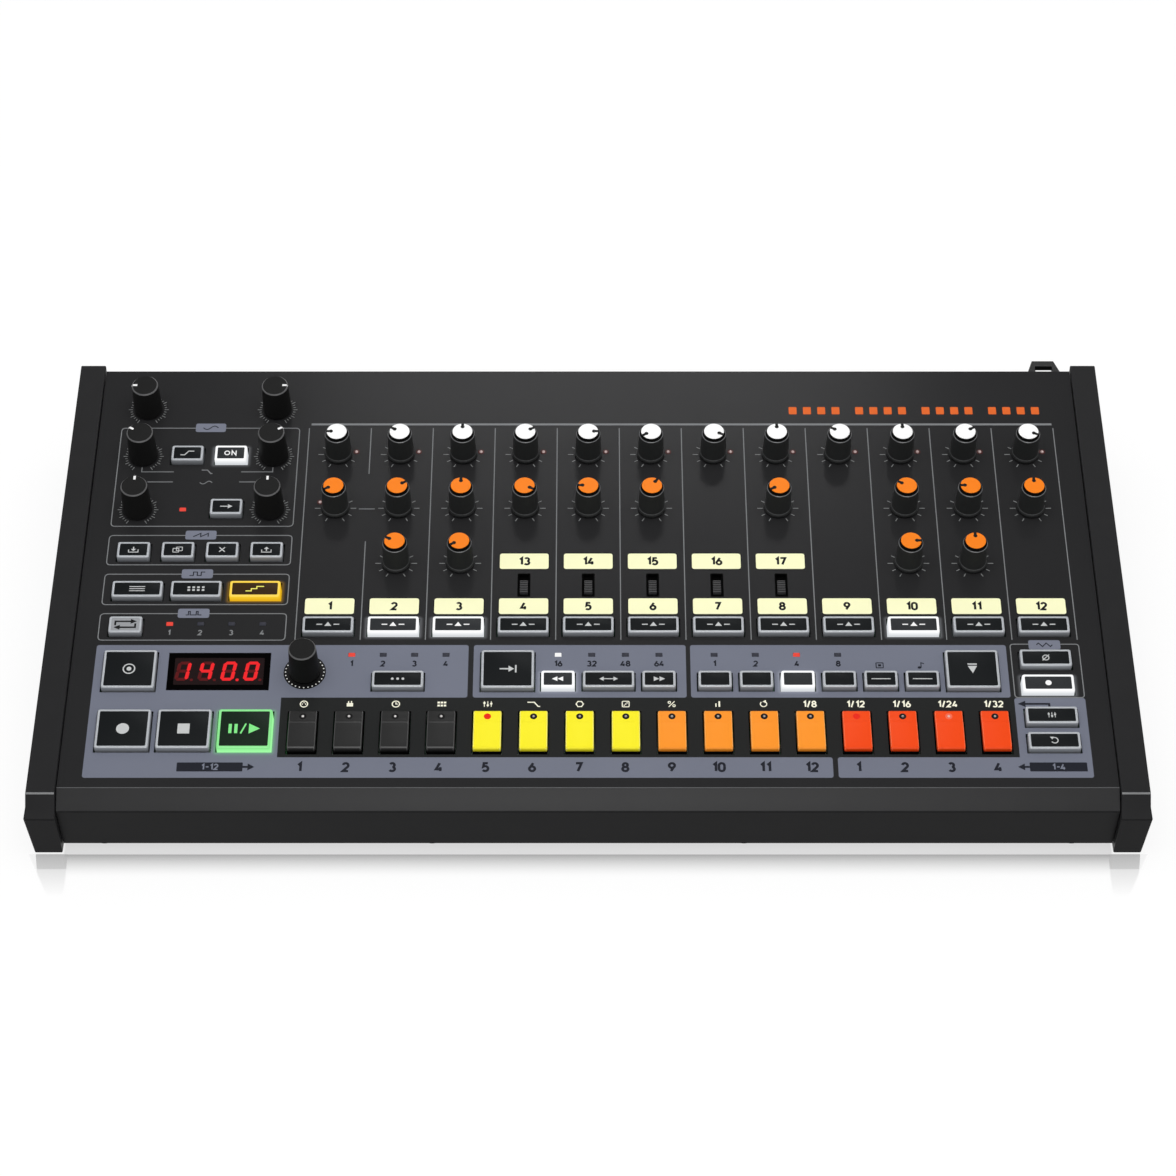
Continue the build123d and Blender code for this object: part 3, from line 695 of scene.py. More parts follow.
# A finish's name, colour and shade as display values, and then the numbers that its maker takes
FINISH_TABLES = {
    moulded: (
        ("case_paint", (30, 30, 31), (35, 35, 36), 0.45, 0.1, 0.35, 0.02),
        # The deck's powder coat on the front facets, painted darker than on the deck as shade
        ("nose_paint", (32, 32, 33), (36, 36, 37), 0.36, PAINT_SHEEN, 0.35, 0.01),
        # Painted highlights along the front upper folds of the deck and the cheeks
        ("deck_brow", (76, 77, 79), (86, 87, 89), 0.35, 0.15, 0.6, 0.01),
        ("cheek_brow", (116, 117, 118), (128, 129, 130), 0.35, 0.15, 0.6, 0.01),
        ("cheek_plastic", (33, 33, 34), (37, 37, 38), 0.4, PAINT_SHEEN, 0.6, 0.04),
        ("foot_rubber", (24, 24, 24), (30, 30, 30), 0.8, 0.1, 0.8, 0.05),
        ("black_plastic", (17, 17, 18), (23, 23, 24), 0.38, 0.2, 0.5, 0.02),
        ("board_mask", (20, 70, 44), (26, 84, 52), 0.35, 0.5, 2.0, 0.03),
        ("component_plastic", (70, 72, 74), (84, 86, 88), 0.5, 0.35, 0.8, 0.02),
        ("knob_skirt", (46, 47, 47), (51, 52, 52), 0.45, 0.06, 0.5, 0.03),
        ("tall_knob_skirt", (28, 28, 28), (32, 32, 32), 0.45, 0.03, 0.5, 0.03),
        # Painted shade on the ring, groove and disc side around a capped knob's disc
        ("knob_well", (10, 10, 10), (14, 14, 14), 0.5, 0.06, 0.5, 0.02),
        # Painted highlight on a tall knob's top chamfer
        ("knob_rim", (92, 92, 93), (104, 104, 105), 0.4, 0.1, 0.6, 0.01),
        # Painted highlight on a capped knob's shoulder bevel
        ("knob_edge", (98, 99, 101), (113, 114, 116), 0.3, 0.3, 0.6, 0.01),
        # Painted highlight on the line above a capped knob's skirt
        ("knob_foot_line", (72, 73, 74), (84, 85, 86), 0.35, 0.2, 0.6, 0.01),
        ("white_disc", (252, 252, 252), (255, 255, 255), 0.4, 0.06, 0.8, 0.01),
        ("orange_disc", (248, 128, 20), (250, 133, 26), 0.4, 0.06, 0.8, 0.01),
        # Painted shade: the black lining of the slide switches' slots
        ("slide_pit", (3, 3, 3), (6, 6, 6), 0.7, 0.01, 0.5, 0.01),
        ("slide_plastic", (76, 76, 77), (86, 86, 87), 0.5, 0.08, 0.5, 0.02),
        ("key_black", (38, 38, 38), (42, 42, 42), 0.4, 0.05, 0.6, 0.015),
        ("key_yellow", (251, 238, 34), (254, 242, 46), 0.4, 0.05, 0.6, 0.015),
        ("key_orange", (252, 148, 38), (255, 153, 46), 0.4, 0.05, 0.6, 0.015),
        ("key_red", (242, 71, 16), (246, 77, 22), 0.4, 0.05, 0.6, 0.015),
        # Painted highlights on the keys' eased edges, and on the black keys' brinks
        ("key_edge_black", (66, 66, 66), (76, 76, 76), 0.34, 0.2, 0.6, 0.01),
        ("key_edge_yellow", (252, 244, 110), (254, 248, 130), 0.34, 0.2, 0.6, 0.01),
        ("key_edge_orange", (252, 170, 80), (253, 178, 92), 0.34, 0.2, 0.6, 0.01),
        ("key_edge_red", (246, 100, 56), (248, 110, 66), 0.34, 0.2, 0.6, 0.01),
        ("light_dome", (150, 142, 140), (172, 164, 162), 0.25, 0.4, 0.6, 0.005),
        ("light_dome_pale", (214, 210, 208), (232, 228, 226), 0.25, 0.4, 0.6, 0.005),
        ("light_dot", (196, 166, 162), (220, 194, 190), 0.25, 0.5, 0.6, 0.005),
        ("light_dot_ring", (66, 30, 28), (78, 38, 36), 0.4, 0.1, 0.6, 0.005),
        ("light_guide", (52, 53, 62), (60, 61, 70), 0.4, 0.05, 0.6, 0.005),
        ("display_filter", (2, 2, 2), (4, 3, 3), 0.14, 0.01, 3.0, 0.002),
        ("display_face", (24, 12, 13), (30, 16, 17), 0.4, 0.03, 1.0, 0.002),
        ("segment_off", (84, 20, 22), (94, 24, 26), 0.4, 0.03, 1.0, 0.002),
    ),
    metal: (
        ("blackened_steel", (62, 62, 64), (80, 80, 82), 0.35),
        ("nickel", (196, 194, 188), (212, 210, 205), 0.24),
    ),
    printed: (
        ("pointer_paint", (240, 240, 240), (248, 248, 248), 0.4),
        ("line_ink", (122, 124, 126), (134, 136, 138), 0.5),
        ("tick_ink", (134, 136, 136), (148, 150, 150), 0.5),
        ("trim_ink", (222, 98, 34), (232, 108, 40), 0.45),
        ("cream_ink", (254, 253, 203), (255, 255, 210), 0.45),
        ("slate_ink", (16, 18, 28), (22, 25, 36), 0.5),
        ("grey_ink", (116, 120, 134), (123, 127, 142), 0.5),
        ("label_ink", (246, 244, 220), (252, 250, 230), 0.45),
        ("pale_ink", (222, 222, 220), (236, 236, 234), 0.45),
        ("black_ink", (6, 6, 7), (10, 10, 11), 0.5),
        ("sign_ink", (190, 192, 192), (204, 206, 206), 0.4),
    ),
    lit_plastic: (
        ("cap_lit_white", (214, 218, 222), (250, 251, 252)),
        ("cap_lit_yellow", (232, 176, 12), (250, 208, 36)),
        ("cap_lit_green", (160, 252, 164), (126, 226, 132)),
    ),
    legend_film: (
        ("legend_film", (12, 15, 17), (17, 20, 22), 0.0),
        ("film_lit_white", (30, 32, 34), (46, 48, 50), 0.3),
        ("film_lit_yellow", (34, 22, 8), (54, 36, 12), 0.5),
        ("film_lit_green", (10, 16, 12), (16, 36, 22), 0.4),
        ("film_pale", (150, 152, 156), (160, 162, 166), 0.0),
    ),
    glowing: (
        ("sign_lit_white", (250, 250, 250), (255, 255, 255), 0.95),
        ("sign_lit_yellow", (250, 246, 100), (255, 250, 130), 0.95),
        ("sign_lit_green", (120, 232, 128), (150, 250, 154), 0.95),
        ("light_red", (226, 66, 54), (240, 80, 66), 1.0),
        ("key_light_red", (226, 36, 22), (244, 52, 30), 1.0),
        ("key_light_rose", (240, 104, 76), (246, 116, 88), 1.0),
        ("light_pale", (244, 244, 244), (252, 252, 252), 1.0),
        ("light_rose", (250, 190, 180), (255, 210, 200), 0.8),
        ("segment_on", (238, 32, 38), (246, 42, 46), 1.0),
    ),
}
FINISHES = {"deck_paint": deck_paint(), "cap_plastic": cap_plastic()}
for maker, table in FINISH_TABLES.items():
    for name, colour, shade, *numbers in table:
        FINISHES[name] = maker(name, ink(*colour), ink(*shade), *numbers)

# ---------------------------------------------------------------- housing

# The deck and the cheeks take a painted highlight on their front upper folds
DECK_BROW, CHEEK_BROW = 0.2, 0.008
eased_copy("deck_sheet", "top_panel", "deck_paint deck_brow nose_paint", 0.35, brow=DECK_BROW)
CHEEK_FINISHES = "cheek_plastic cheek_brow cheek_plastic"
for node in ("left_cheek", "right_cheek"):
    eased_copy(f"{node}_moulding", node, CHEEK_FINISHES, 0.6, 4, brow=CHEEK_BROW)

# A bevel swells by a hundredth of its radius where its corner isn't square, so the tip stands back
TIP_ROOM = 0.02
hook = eased_copy("hook_loop", "cable_hook", "black_plastic", 0.4)
tip = np.empty(3 * len(hook.data.vertices), np.float32)
hook.data.vertices.foreach_get("co", tip)
tip[1::3] = np.minimum(tip[1::3], cad_box[1][1] - TIP_ROOM * MM)
hook.data.vertices.foreach_set("co", tip)

# CAD nodes that stay in view, each with its finish
DRESSED = {
    "bottom_tray": "case_paint",
    "rear_panel": "case_paint",
    "main_board": "board_mask",
    "potentiometers": "component_plastic",
    "key_switches": "black_plastic",
    "display_module": "display_face",
}
for node, finish in DRESSED.items():
    materials = frame["nodes"][node].data.materials
    materials.clear()
    materials.append(FINISHES[finish])

FOOT_PROFILE = ((0, 0.6), (2.0, 0.6), (2.3, 0.0), (4.2, 0.0), (4.9, 0.5), (5.0, 3.5), (0, 3.5))
FOOT_RADIUS = 5.0
FOOT_XS = (-217.0, -70.0, 70.0, 217.0)
low, high = (np.array(corner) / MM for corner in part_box("feet"))
foot_spots = [(x, y) for x in FOOT_XS for y in (low[1] + FOOT_RADIUS, high[1] - FOOT_RADIUS)]
feet = Shape(Side((0, 0, 0), (1, 0, 0), (0, 1, 0)))
feet.repeat(turned(rounded_profile(FOOT_PROFILE, 0.4), 40), foot_spots)
made("rubber_feet", feet, "housing", "foot_rubber", ("feet",))


def screw_head(radius, height, steps=48, rings=14):
    """A pan head with a cross recess: a grid of angle and radius whose height is a shallow dome,
    less a depth that is full where the point lies in either arm of the cross."""
    turn = full_turn(steps)
    share = np.linspace(1, 0, rings)[:, None]
    across = radius * share * np.cos(turn)
    along = radius * share * np.sin(turn)
    arm = SCREW_ARM * radius
    cross = ((np.abs(across) < arm) | (np.abs(along) < arm)) & (share < SCREW_CROSS)
    level = height * (1 - 0.35 * share ** 4) - 0.5 * height * cross
    top = np.stack((across, along, np.broadcast_to(level, across.shape)), axis=-1)
    skirt = at_level(radius * unit_circle(turn), 0)[None]
    base = skirt * (0, 0, 1)
    return np.concatenate((base, skirt, top)).reshape(-1, 3), [grid_faces(rings + 2, steps, around=True)]


SCREW_RADIUS = 2.7
SCREW_HEIGHT = 1.6
SCREW_ARM, SCREW_CROSS = 0.17, 0.62
SCREW_XS = (-200.0, 0.0, 200.0)
low, high = (np.array(corner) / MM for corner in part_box("case_screws"))
screw_ys = (-(low[1] + SCREW_RADIUS), -(high[1] - SCREW_RADIUS))
screws = Shape(Side((0, 0, low[2] * MM + SCREW_HEIGHT * MM), (1, 0, 0), (0, -1, 0)))
screws.repeat(screw_head(SCREW_RADIUS, SCREW_HEIGHT), [(x, y) for x in SCREW_XS for y in screw_ys])
made("floor_screws", screws, "housing", "blackened_steel", ("case_screws",), 30.0)

# ---------------------------------------------------------------- numerals and signs

def stroke(path, width=0.45, closed=False):
    """One drawn line of a sign."""
    return path, width, closed


def line(width, *numbers):
    """One drawn line of a sign through points given two by two."""
    return stroke(pairs(*numbers), width)


def solid(outline):
    """One filled part of a sign."""
    return outline, None, True


def fill(*numbers):
    """One filled part of a sign, its corners given two by two."""
    return solid(pairs(*numbers))


def dot_outline(radius, centre=(0, 0)):
    """A circle as a closed outline."""
    return arc(centre, radius, 0, 345, 23)


def ring(radius, width=0.45, centre=(0, 0)):
    """A drawn circle."""
    return stroke(dot_outline(radius, centre), width, True)


def disc(radius, centre=(0, 0)):
    """A filled circle."""
    return solid(dot_outline(radius, centre))


def block(left, right, low, high, radius=0.15):
    """A filled rectangle."""
    return solid(box_between(left, right, low, high, radius, 2))


def hollow(width, left, right, low, high, radius=0.2):
    """A drawn rectangle."""
    return stroke(box_between(left, right, low, high, radius, 2), width, True)


def pointer(tip, back, half, up=0.0):
    """A filled triangle along across, from its back to its tip."""
    corners = np.array(((tip, up), (back, up + half), (back, up - half)))
    return solid(corners if tip < back else corners[::-1])


LIFT = 0.003


def draw(shape, sign, spot, low, high, mark=0, scale=1.0):
    """Sets a sign on a spot; each of its parts stands a hair above the one before."""
    for lift, (path, width, closed) in enumerate(sign):
        top = high + LIFT * lift
        if width is None:
            drawn = plate(path * scale, low, top)
        else:
            drawn = ribbon(path * scale, width * scale, low, top, closed)
        shape.add(drawn, spot, mark=mark)


# Each numeral's centre lines in a box 0.5 wide and 0.86 high, as (path, closed)
OVAL_TOP, OVAL_FOOT = arc((0.25, 0.6), (0.25, 0.26), 0, 180), arc((0.25, 0.26), (0.25, 0.26), 180, 360)
TWO = np.concatenate((arc((0.25, 0.61), (0.24, 0.25), 165, -30), pairs(0.02, 0.0, 0.5, 0.0)))
FIVE = np.concatenate((pairs(0.46, 0.86, 0.1, 0.86), arc((0.23, 0.27), (0.26, 0.27), 132, -145)))
NUMERALS = {
    "0": [(np.concatenate((OVAL_TOP, OVAL_FOOT)), True)],
    "1": [(pairs(0.08, 0.66, 0.3, 0.86, 0.3, 0.0), False)],
    "2": [(TWO, False)],
    "3": [
        (arc((0.24, 0.645), (0.21, 0.215), 150, -80), False),
        (arc((0.24, 0.22), (0.25, 0.22), 80, -150), False),
    ],
    "4": [(pairs(0.32, 0.86, 0.0, 0.2, 0.52, 0.2), False), (pairs(0.38, 0.42, 0.38, 0.0), False)],
    "5": [(FIVE, False)],
    "6": [(arc((0.25, 0.25), 0.25, 0, 342, 19), True), (pairs(0.05, 0.36, 0.34, 0.86), False)],
    "7": [(pairs(0.0, 0.86, 0.5, 0.86, 0.18, 0.0), False)],
    "8": [
        (arc((0.25, 0.655), (0.2, 0.205), 0, 342, 19), True),
        (arc((0.25, 0.225), (0.25, 0.225), 0, 342, 19), True),
    ],
    "/": [(pairs(0.0, -0.06, 0.3, 0.92), False)],
    "-": [(pairs(0.05, 0.43, 0.42, 0.43), False)],
}
NUMERALS["9"] = [((0.5, 0.86) - path, closed) for path, closed in NUMERALS["6"]]
NARROW = {"1": 0.57, "/": 0.58, "-": 0.62}
ADVANCE = 0.76
NUMERAL_WIDTH = 0.5
NUMERAL_MIDDLE = 0.43


def figures(text, height, weight=0.2):
    """Plain numerals, centred, as one sign; the weight is a share of their height."""
    steps = [NARROW.get(sign, ADVANCE) for sign in text]
    start = -(sum(steps) - (ADVANCE - NUMERAL_WIDTH)) / 2
    parts = []
    for sign, step in zip(text, steps):
        for path, closed in NUMERALS[sign]:
            parts.append(stroke((path + (start, -NUMERAL_MIDDLE)) * height, weight * height, closed))
        start += step
    return parts


SINE_XS = np.linspace(-3.6, 3.6, 25)
TRAY = (-2.2, 0.0, -2.2, -1.5, 2.2, -1.5, 2.2, 0.0)
SIGNS = {
    "": [],
    # on the tags above the groups of controls
    "sine": [stroke(np.column_stack((SINE_XS, 1.05 * np.sin(SINE_XS * np.pi / 3.6))), 0.5)],
    "saw": [line(0.5, -3.6, -1, -0.1, 1, -0.1, -1, 3.4, 1, 3.4, -1)],
    "square": [line(0.5, -3.6, -1, -1.8, -1, -1.8, 1, 0, 1, 0, -1, 1.8, -1, 1.8, 1, 3.6, 1)],
    "pulse": [
        line(0.5, -3.6, -1, -2.4, -1, -2.4, 1, -1.6, 1, -1.6, -1, 1.2, -1, 1.2, 1, 2, 1, 2, -1, 3.6, -1),
    ],
    "ramp": [line(0.5, -3.6, 0, -2.7, 1, -0.9, -1, 0.9, 1, 2.7, -1, 3.6, 0)],
    # above the step keys and the lights
    "socket": [ring(1.5), disc(0.28, (-0.7, 0.0)), disc(0.28, (0, 0.7)), disc(0.28, (0.7, 0.0))],
    "plug": [block(-1.3, 1.3, -1.2, 0.5), line(0.4, -0.6, 0.4, -0.6, 1.5), line(0.4, 0.6, 0.4, 0.6, 1.5)],
    "clock": [ring(1.5), line(0.4, 0, 0.95, 0, 0, 0.75, 0)],
    "map": [block(x - 0.5, x + 0.5, y - 0.45, y + 0.45, 0.08) for x in (-1.3, 0, 1.3) for y in (-0.75, 0.75)],
    "faders": [line(0.32, x, -1.4, x, 1.4) for x in (-1.4, 0, 1.4)]
    + [disc(0.5, (-1.4, 0.5)), disc(0.5, (0, -0.6)), disc(0.5, (1.4, 0.2))],
    "filter": [line(0.5, -2.6, 0.9, 0.2, 0.9, 1.8, -1.2, 2.6, -1.2)],
    "hexagon": [stroke(arc((0, 0), 1.5, 0, 300, 5), 0.45, True)],
    "dice": [hollow(0.4, -1.4, 1.4, -1.4, 1.4, 0.4), *(disc(0.3, (x, x)) for x in (-0.6, 0, 0.6))],
    "percent": [
        line(0.4, -1.2, -1.4, 1.2, 1.4), ring(0.5, 0.36, (-0.95, 0.85)), ring(0.5, 0.36, (0.95, -0.85)),
    ],
    "accent": [line(0.5, -0.7, -1.4, -0.7, 0.3), line(0.7, 0.7, -1.4, 0.7, 1.4)],
    "repeat": [stroke(arc((0, 0), 1.3, 60, -230, 18), 0.42), pointer(-0.4, 1.0, 0.8, 1.25)],
    "step": [hollow(0.45, -1.6, 1.6, -1.4, 1.4), block(-0.7, 0.7, -0.6, 0.6)],
    "note": [solid(arc((-0.7, -1.2), (0.85, 0.65), 0, 345, 23)), line(0.4, 0.05, -1.2, 0.05, 1.5, 1.5, 0.9)],
    # on the caps
    "tap": [ring(2.6, 0.55), disc(1.1)],
    "record": [disc(2.9)],
    "stop": [block(-2.7, 2.7, -2.7, 2.7)],
    "play": [
        line(1.4, -6.4, -2.5, -6.4, 2.5), line(1.4, -3.8, -2.5, -3.8, 2.5), line(0.7, -1.6, -2.7, 0.6, 2.7),
        pointer(6.9, 2.0, 2.7),
    ],
    "scroll": [line(0.7, -3.6, 0, 0.6, 0), pointer(3.0, 0.4, 1.7), line(0.7, 3.7, -2.1, 3.7, 2.1)],
    "strike": [fill(-2.1, 1.6, 0, -2.5, 2.1, 1.6), line(0.7, -2.1, 2.6, 2.1, 2.6)],
    "select": [line(0.55, -5.2, 0, -2.6, 0), fill(-1.6, -0.9, 1.6, -0.9, 0, 1.4), line(0.55, 2.6, 0, 5.2, 0)],
    "slope": [line(0.5, -3.2, -1.2, -1.2, -1.2, 0.6, 1.1, 3.2, 1.1)],
    "on": [ring(1.15, 0.5, (-1.7, 0)), line(0.5, 0.6, -1.4, 0.6, 1.3, 2.5, -1.3, 2.5, 1.4)],
    "send": [line(0.5, -2.8, 0, 1, 0), pointer(3.0, 0.8, 1.3)],
    "store": [line(0.42, *TRAY), fill(0, -0.9, 1.2, 0.4, -1.2, 0.4), line(0.5, 0, 0.3, 0, 1.6)],
    "copy": [hollow(0.38, -2.2, 0.5, -1.5, 0.7), hollow(0.38, -0.6, 2.1, -0.7, 1.5)],
    "cross": [line(0.5, -1.3, -1.3, 1.3, 1.3), line(0.5, 1.3, -1.3, -1.3, 1.3)],
    "dump": [line(0.42, *TRAY), fill(-1.2, 0.4, 1.2, 0.4, 0, 1.7), line(0.5, 0, -0.8, 0, 0.5)],
    "loop": [
        line(0.85, -4.6, -0.5, -4.6, 1.7, 2.6, 1.7), pointer(5.2, 2.4, 1.35, 1.7),
        line(0.85, 4.6, 0.5, 4.6, -1.7, -2.6, -1.7), pointer(-5.2, -2.4, 1.35, -1.7),
    ],
    "back": [pointer(-2.7, -0.2, 1.3), pointer(-0.1, 2.4, 1.3)],
    "ahead": [pointer(0.1, -2.4, 1.3), pointer(2.7, 0.2, 1.3)],
    "dash": [line(0.45, -4.4, 0, 4.4, 0)],
    "bars": [line(0.42, -3.6, y, 3.6, y) for y in (-1.2, 0, 1.2)],
    "grid": [
        block(x - 0.6, x + 0.6, y - 0.5, y + 0.5, 0.1) for x in (-3.3, -1.1, 1.1, 3.3) for y in (-0.8, 0.8)
    ],
    "stair": [line(0.5, -4.2, -1.3, -1.6, -1.3, -1.6, 0, 0.9, 0, 0.9, 1.3, 4.2, 1.3)],
    "dots": [disc(0.65, (x, 0)) for x in (-2.4, 0, 2.4)],
    "span": [line(0.5, -2.4, 0, 2.4, 0), pointer(-4.2, -2.2, 1.2), pointer(4.2, 2.2, 1.2)],
    "mute": [ring(1.4), line(0.45, -1.6, -1.6, 1.6, 1.6)],
    "solo": [disc(1.4)],
    "turn": [stroke(arc((0, 0), 1.5, 120, -150, 18), 0.45), fill(-2.0, 1.9, -1.0, 0.5, -0.2, 1.9)],
}

# ---------------------------------------------------------------- print on the deck

UNDER, INK = -0.02, 0.04
LINE = 0.45
TAG_SIZE = (14.5, 5.3)
FRAME_LEFT, FRAME_RIGHT = -224.0, -138.5
FRAMES = ((148.0, 208.5), (125.0, 142.5), (101.7, 119.5), (81.3, 96.5))
TRACK_FRAME = (192.5, 223.8, 49.0, 79.0)
TOP_RULE = pairs(-133.0, 210.9, 223.0, 210.9)
DIVIDER_LOW, DIVIDER_HIGH = 81.5, 208.5
DIVIDER_GAPS = {1: (139.0, 180.0)}
SHORT_RULES = (
    pairs(-108.0, 158.5, -100.5, 158.5),
    pairs(-212.3, 184.0, -212.3, 181.2, -197.0, 181.2),
    pairs(-150.0, 184.0, -150.0, 181.2, -165.0, 181.2),
    pairs(-209.0, 175.0, -197.0, 175.0),
    pairs(-165.5, 175.0, -156.0, 175.0),
)


def rule(path, width=LINE, closed=False):
    """A printed line."""
    return ribbon(path, width, UNDER, INK, closed)


def on_deck(name, shape, finishes):
    """Makes a piece of print on the housing."""
    made(name, shape, "housing", finishes)


lines = Shape()
for low, high in FRAMES:
    lines.add(rule(box_between(FRAME_LEFT, FRAME_RIGHT, low, high, 2.0), closed=True))
lines.add(rule(box_between(*TRACK_FRAME, 1.6), closed=True))
lines.add(rule(TOP_RULE, 1.2))
for number in range(CHANNELS + 1):
    x = FIRST_CHANNEL + CHANNEL_PITCH * (number - 0.5)
    ends = (DIVIDER_LOW, *DIVIDER_GAPS.get(number, ()), DIVIDER_HIGH)
    for low, high in zip(ends[::2], ends[1::2]):
        lines.add(rule(((x, low), (x, high))))
for path in SHORT_RULES:
    lines.add(rule(path))

CAPPED_TICKS = np.arange(-150, 151, 30)
FINE_TICKS = np.arange(-150, 151, 10)
SKIPPED_TICKS = {"level": (60, 90), "tone_knob_1": (-60,)}
CAPPED_SCALE = (7.1, 9.7, 0.36)
FINE_SCALE = (7.7, 9.6, 0.28)
SHORT_TICK = 0.8
for body, hinge in HINGES.items():
    if body.startswith("data"):
        continue
    fine = body.startswith("effect")
    inner, outer, weight = FINE_SCALE if fine else CAPPED_SCALE
    skipped = SKIPPED_TICKS.get(body.split("_")[0], ()) + SKIPPED_TICKS.get(body.removesuffix("_body"), ())
    for angle in FINE_TICKS if fine else CAPPED_TICKS:
        if angle not in skipped:
            full = abs(angle) in (90, 0) or (fine and angle % 30 == 0)
            tick = rule(((0, inner), (0, outer if full else outer - SHORT_TICK)), weight)
            lines.add(tick, DECK.read(hinge["pos_m"])[:2], angle, 1)
on_deck("panel_lines", lines, "line_ink tick_ink")

tags = Shape()
tag_spots = [(-181.25, high + 0.2) for _, high in FRAMES] + [(208.2, 78.6)]
tags.repeat(plate(soft_box(*TAG_SIZE, 1.2), UNDER, 0.07), tag_spots)
on_deck("section_tags", tags, "grey_ink")

PLATE_WIDTH, PLATE_LENGTH = 22.7, 9.1
PLATE_ROW = 100.8
UPPER_PLATE_ROW = 127.1
slide_xs = [channel_xs[channel - 1] for channel in SLIDE_CHANNELS]
plate_spots = [(x, PLATE_ROW) for x in channel_xs] + [(x, UPPER_PLATE_ROW) for x in slide_xs]
plates = Shape()
plates.repeat(plate(soft_box(PLATE_WIDTH + 1.0, PLATE_LENGTH + 1.0, 1.8), UNDER, 0.05), plate_spots, 1)
plates.repeat(plate(soft_box(PLATE_WIDTH, PLATE_LENGTH, 1.3), UNDER, 0.08), plate_spots)
on_deck("name_plates", plates, "cream_ink black_ink")

# Height and weight of the figures
PLATE_FIGURES = (4.4, 0.24)
STEP_FIGURES = (4.9, 0.24)
LABEL_FIGURES = (3.1, 0.23)
numbers = Shape()
for number, spot in enumerate(plate_spots, start=1):
    draw(numbers, figures(str(number), *PLATE_FIGURES), spot, 0.06, 0.1)
on_deck("plate_numbers", numbers, "black_ink")

STEP_ROW = 11.0
LABEL_ROW = 68.0
step_print = Shape()
for place, x in enumerate(key_xs):
    draw(step_print, figures(str(place % 12 + 1), *STEP_FIGURES), (x - 0.4, STEP_ROW), 0.0, 0.05)
LIGHT_LABELS = ((("16", "32", "48", "64"), length_lights), ("1248", repeat_lights), ("1234", data_lights))
for texts, spots in LIGHT_LABELS:
    for text, (x, _) in zip(texts, spots):
        draw(step_print, figures(text, *LABEL_FIGURES), (x, LABEL_ROW), 0.0, 0.05)

# Number tags under the keys: outer and inner end, the arrow's tip, and the text
NUMBER_TAGS = ((-182.5, -153.2, -148.0, "1-12"), (221.5, 196.0, 190.8, "1-4"))
ARROW_ROW = 11.1
for outer, inner, tip, text in NUMBER_TAGS:
    way = np.sign(tip - inner)
    tag = [
        block(min(outer, inner), max(outer, inner), 8.7, 13.5, 0.4),
        line(1.0, inner, ARROW_ROW, tip - way * 2.6, ARROW_ROW),
        pointer(tip, tip - way * 3.0, 1.8, ARROW_ROW),
    ]
    draw(step_print, tag, (0, 0), UNDER, 0.05)
    draw(step_print, figures(text, 3.2), ((outer + inner) / 2, ARROW_ROW), 0.05, 0.09, 1)
settings_arrow = [line(0.95, 207.5, 43.4, 207.5, 45.5, 196.2, 45.5), pointer(193.4, 196.8, 1.7, 45.5)]
draw(step_print, settings_arrow, (0, 0), UNDER, 0.05)
for word, (x, _) in zip(("step", "note"), repeat_spots[4:]):
    draw(step_print, SIGNS[word], (x, LABEL_ROW - 1.0), UNDER, 0.05)
on_deck("step_numbers", step_print, "slate_ink grey_ink")

tag_print = Shape()
for word, spot in zip(("sine", "saw", "square", "pulse", "ramp"), tag_spots):
    draw(tag_print, SIGNS[word], spot, 0.05, 0.1)
on_deck("tag_signs", tag_print, "slate_ink")

KEY_SIGN_ROW, KEY_SIGN_SCALE = 45.4, 1.1
SYNC_ROW = 85.6
KEY_WORDS = "socket plug clock map faders filter hexagon dice percent accent repeat".split()
KEY_RATES = ("1/8", "1/12", "1/16", "1/24", "1/32")
marks = Shape()
for text, (x, _) in zip("1234", sync_lights):
    draw(marks, figures(text, 2.9), (x, SYNC_ROW), UNDER, INK)
draw(marks, SIGNS["filter"], (-181.2, 181.4), UNDER, INK)
draw(marks, SIGNS["sine"], (-181.2, 174.6), UNDER, INK, scale=0.8)
for word, x in zip(KEY_WORDS, key_xs):
    draw(marks, SIGNS[word], (x, KEY_SIGN_ROW), UNDER, INK, 1, KEY_SIGN_SCALE)
for text, x in zip(KEY_RATES, key_xs[len(KEY_WORDS):]):
    draw(marks, figures(text, 3.5), (x, KEY_SIGN_ROW), UNDER, INK, 1)
on_deck("light_numbers", marks, "line_ink label_ink")

# Sixteen small squares in four groups, as plain trim for the wide bare strip behind the knobs
TRIM_ROW = 219.6
TRIM_SQUARE = (3.8, 4.6)
FIRST_TRIM, TRIM_PITCH, TRIM_GAP = 98.8, 6.9, 4.5
trim = Shape()
trim_xs = [FIRST_TRIM + TRIM_PITCH * place + TRIM_GAP * (place // 4) for place in range(16)]
trim.repeat(plate(soft_box(*TRIM_SQUARE, 0.5, 3), UNDER, INK), [(x, TRIM_ROW) for x in trim_xs])
on_deck("trim_squares", trim, "trim_ink")

DIAL_RADIUS = 9.6
DIAL_DOTS = 28
DOTS_RADIUS = 8.7
dial = Shape()
dial.add(plate(arc((0, 0), DIAL_RADIUS, 0, 354, 59), UNDER, 0.05), ENCODER_SPOT)
dot_turns = np.radians(360 / DIAL_DOTS * np.arange(DIAL_DOTS))
dots = np.array(ENCODER_SPOT) + DOTS_RADIUS * unit_circle(dot_turns)[:, ::-1]
dial.repeat(plate(arc((0, 0), 0.34, 0, 315, 7), 0.0, 0.09), dots, 1)
on_deck("encoder_dial", dial, "black_ink pale_ink")

# ---------------------------------------------------------------- display

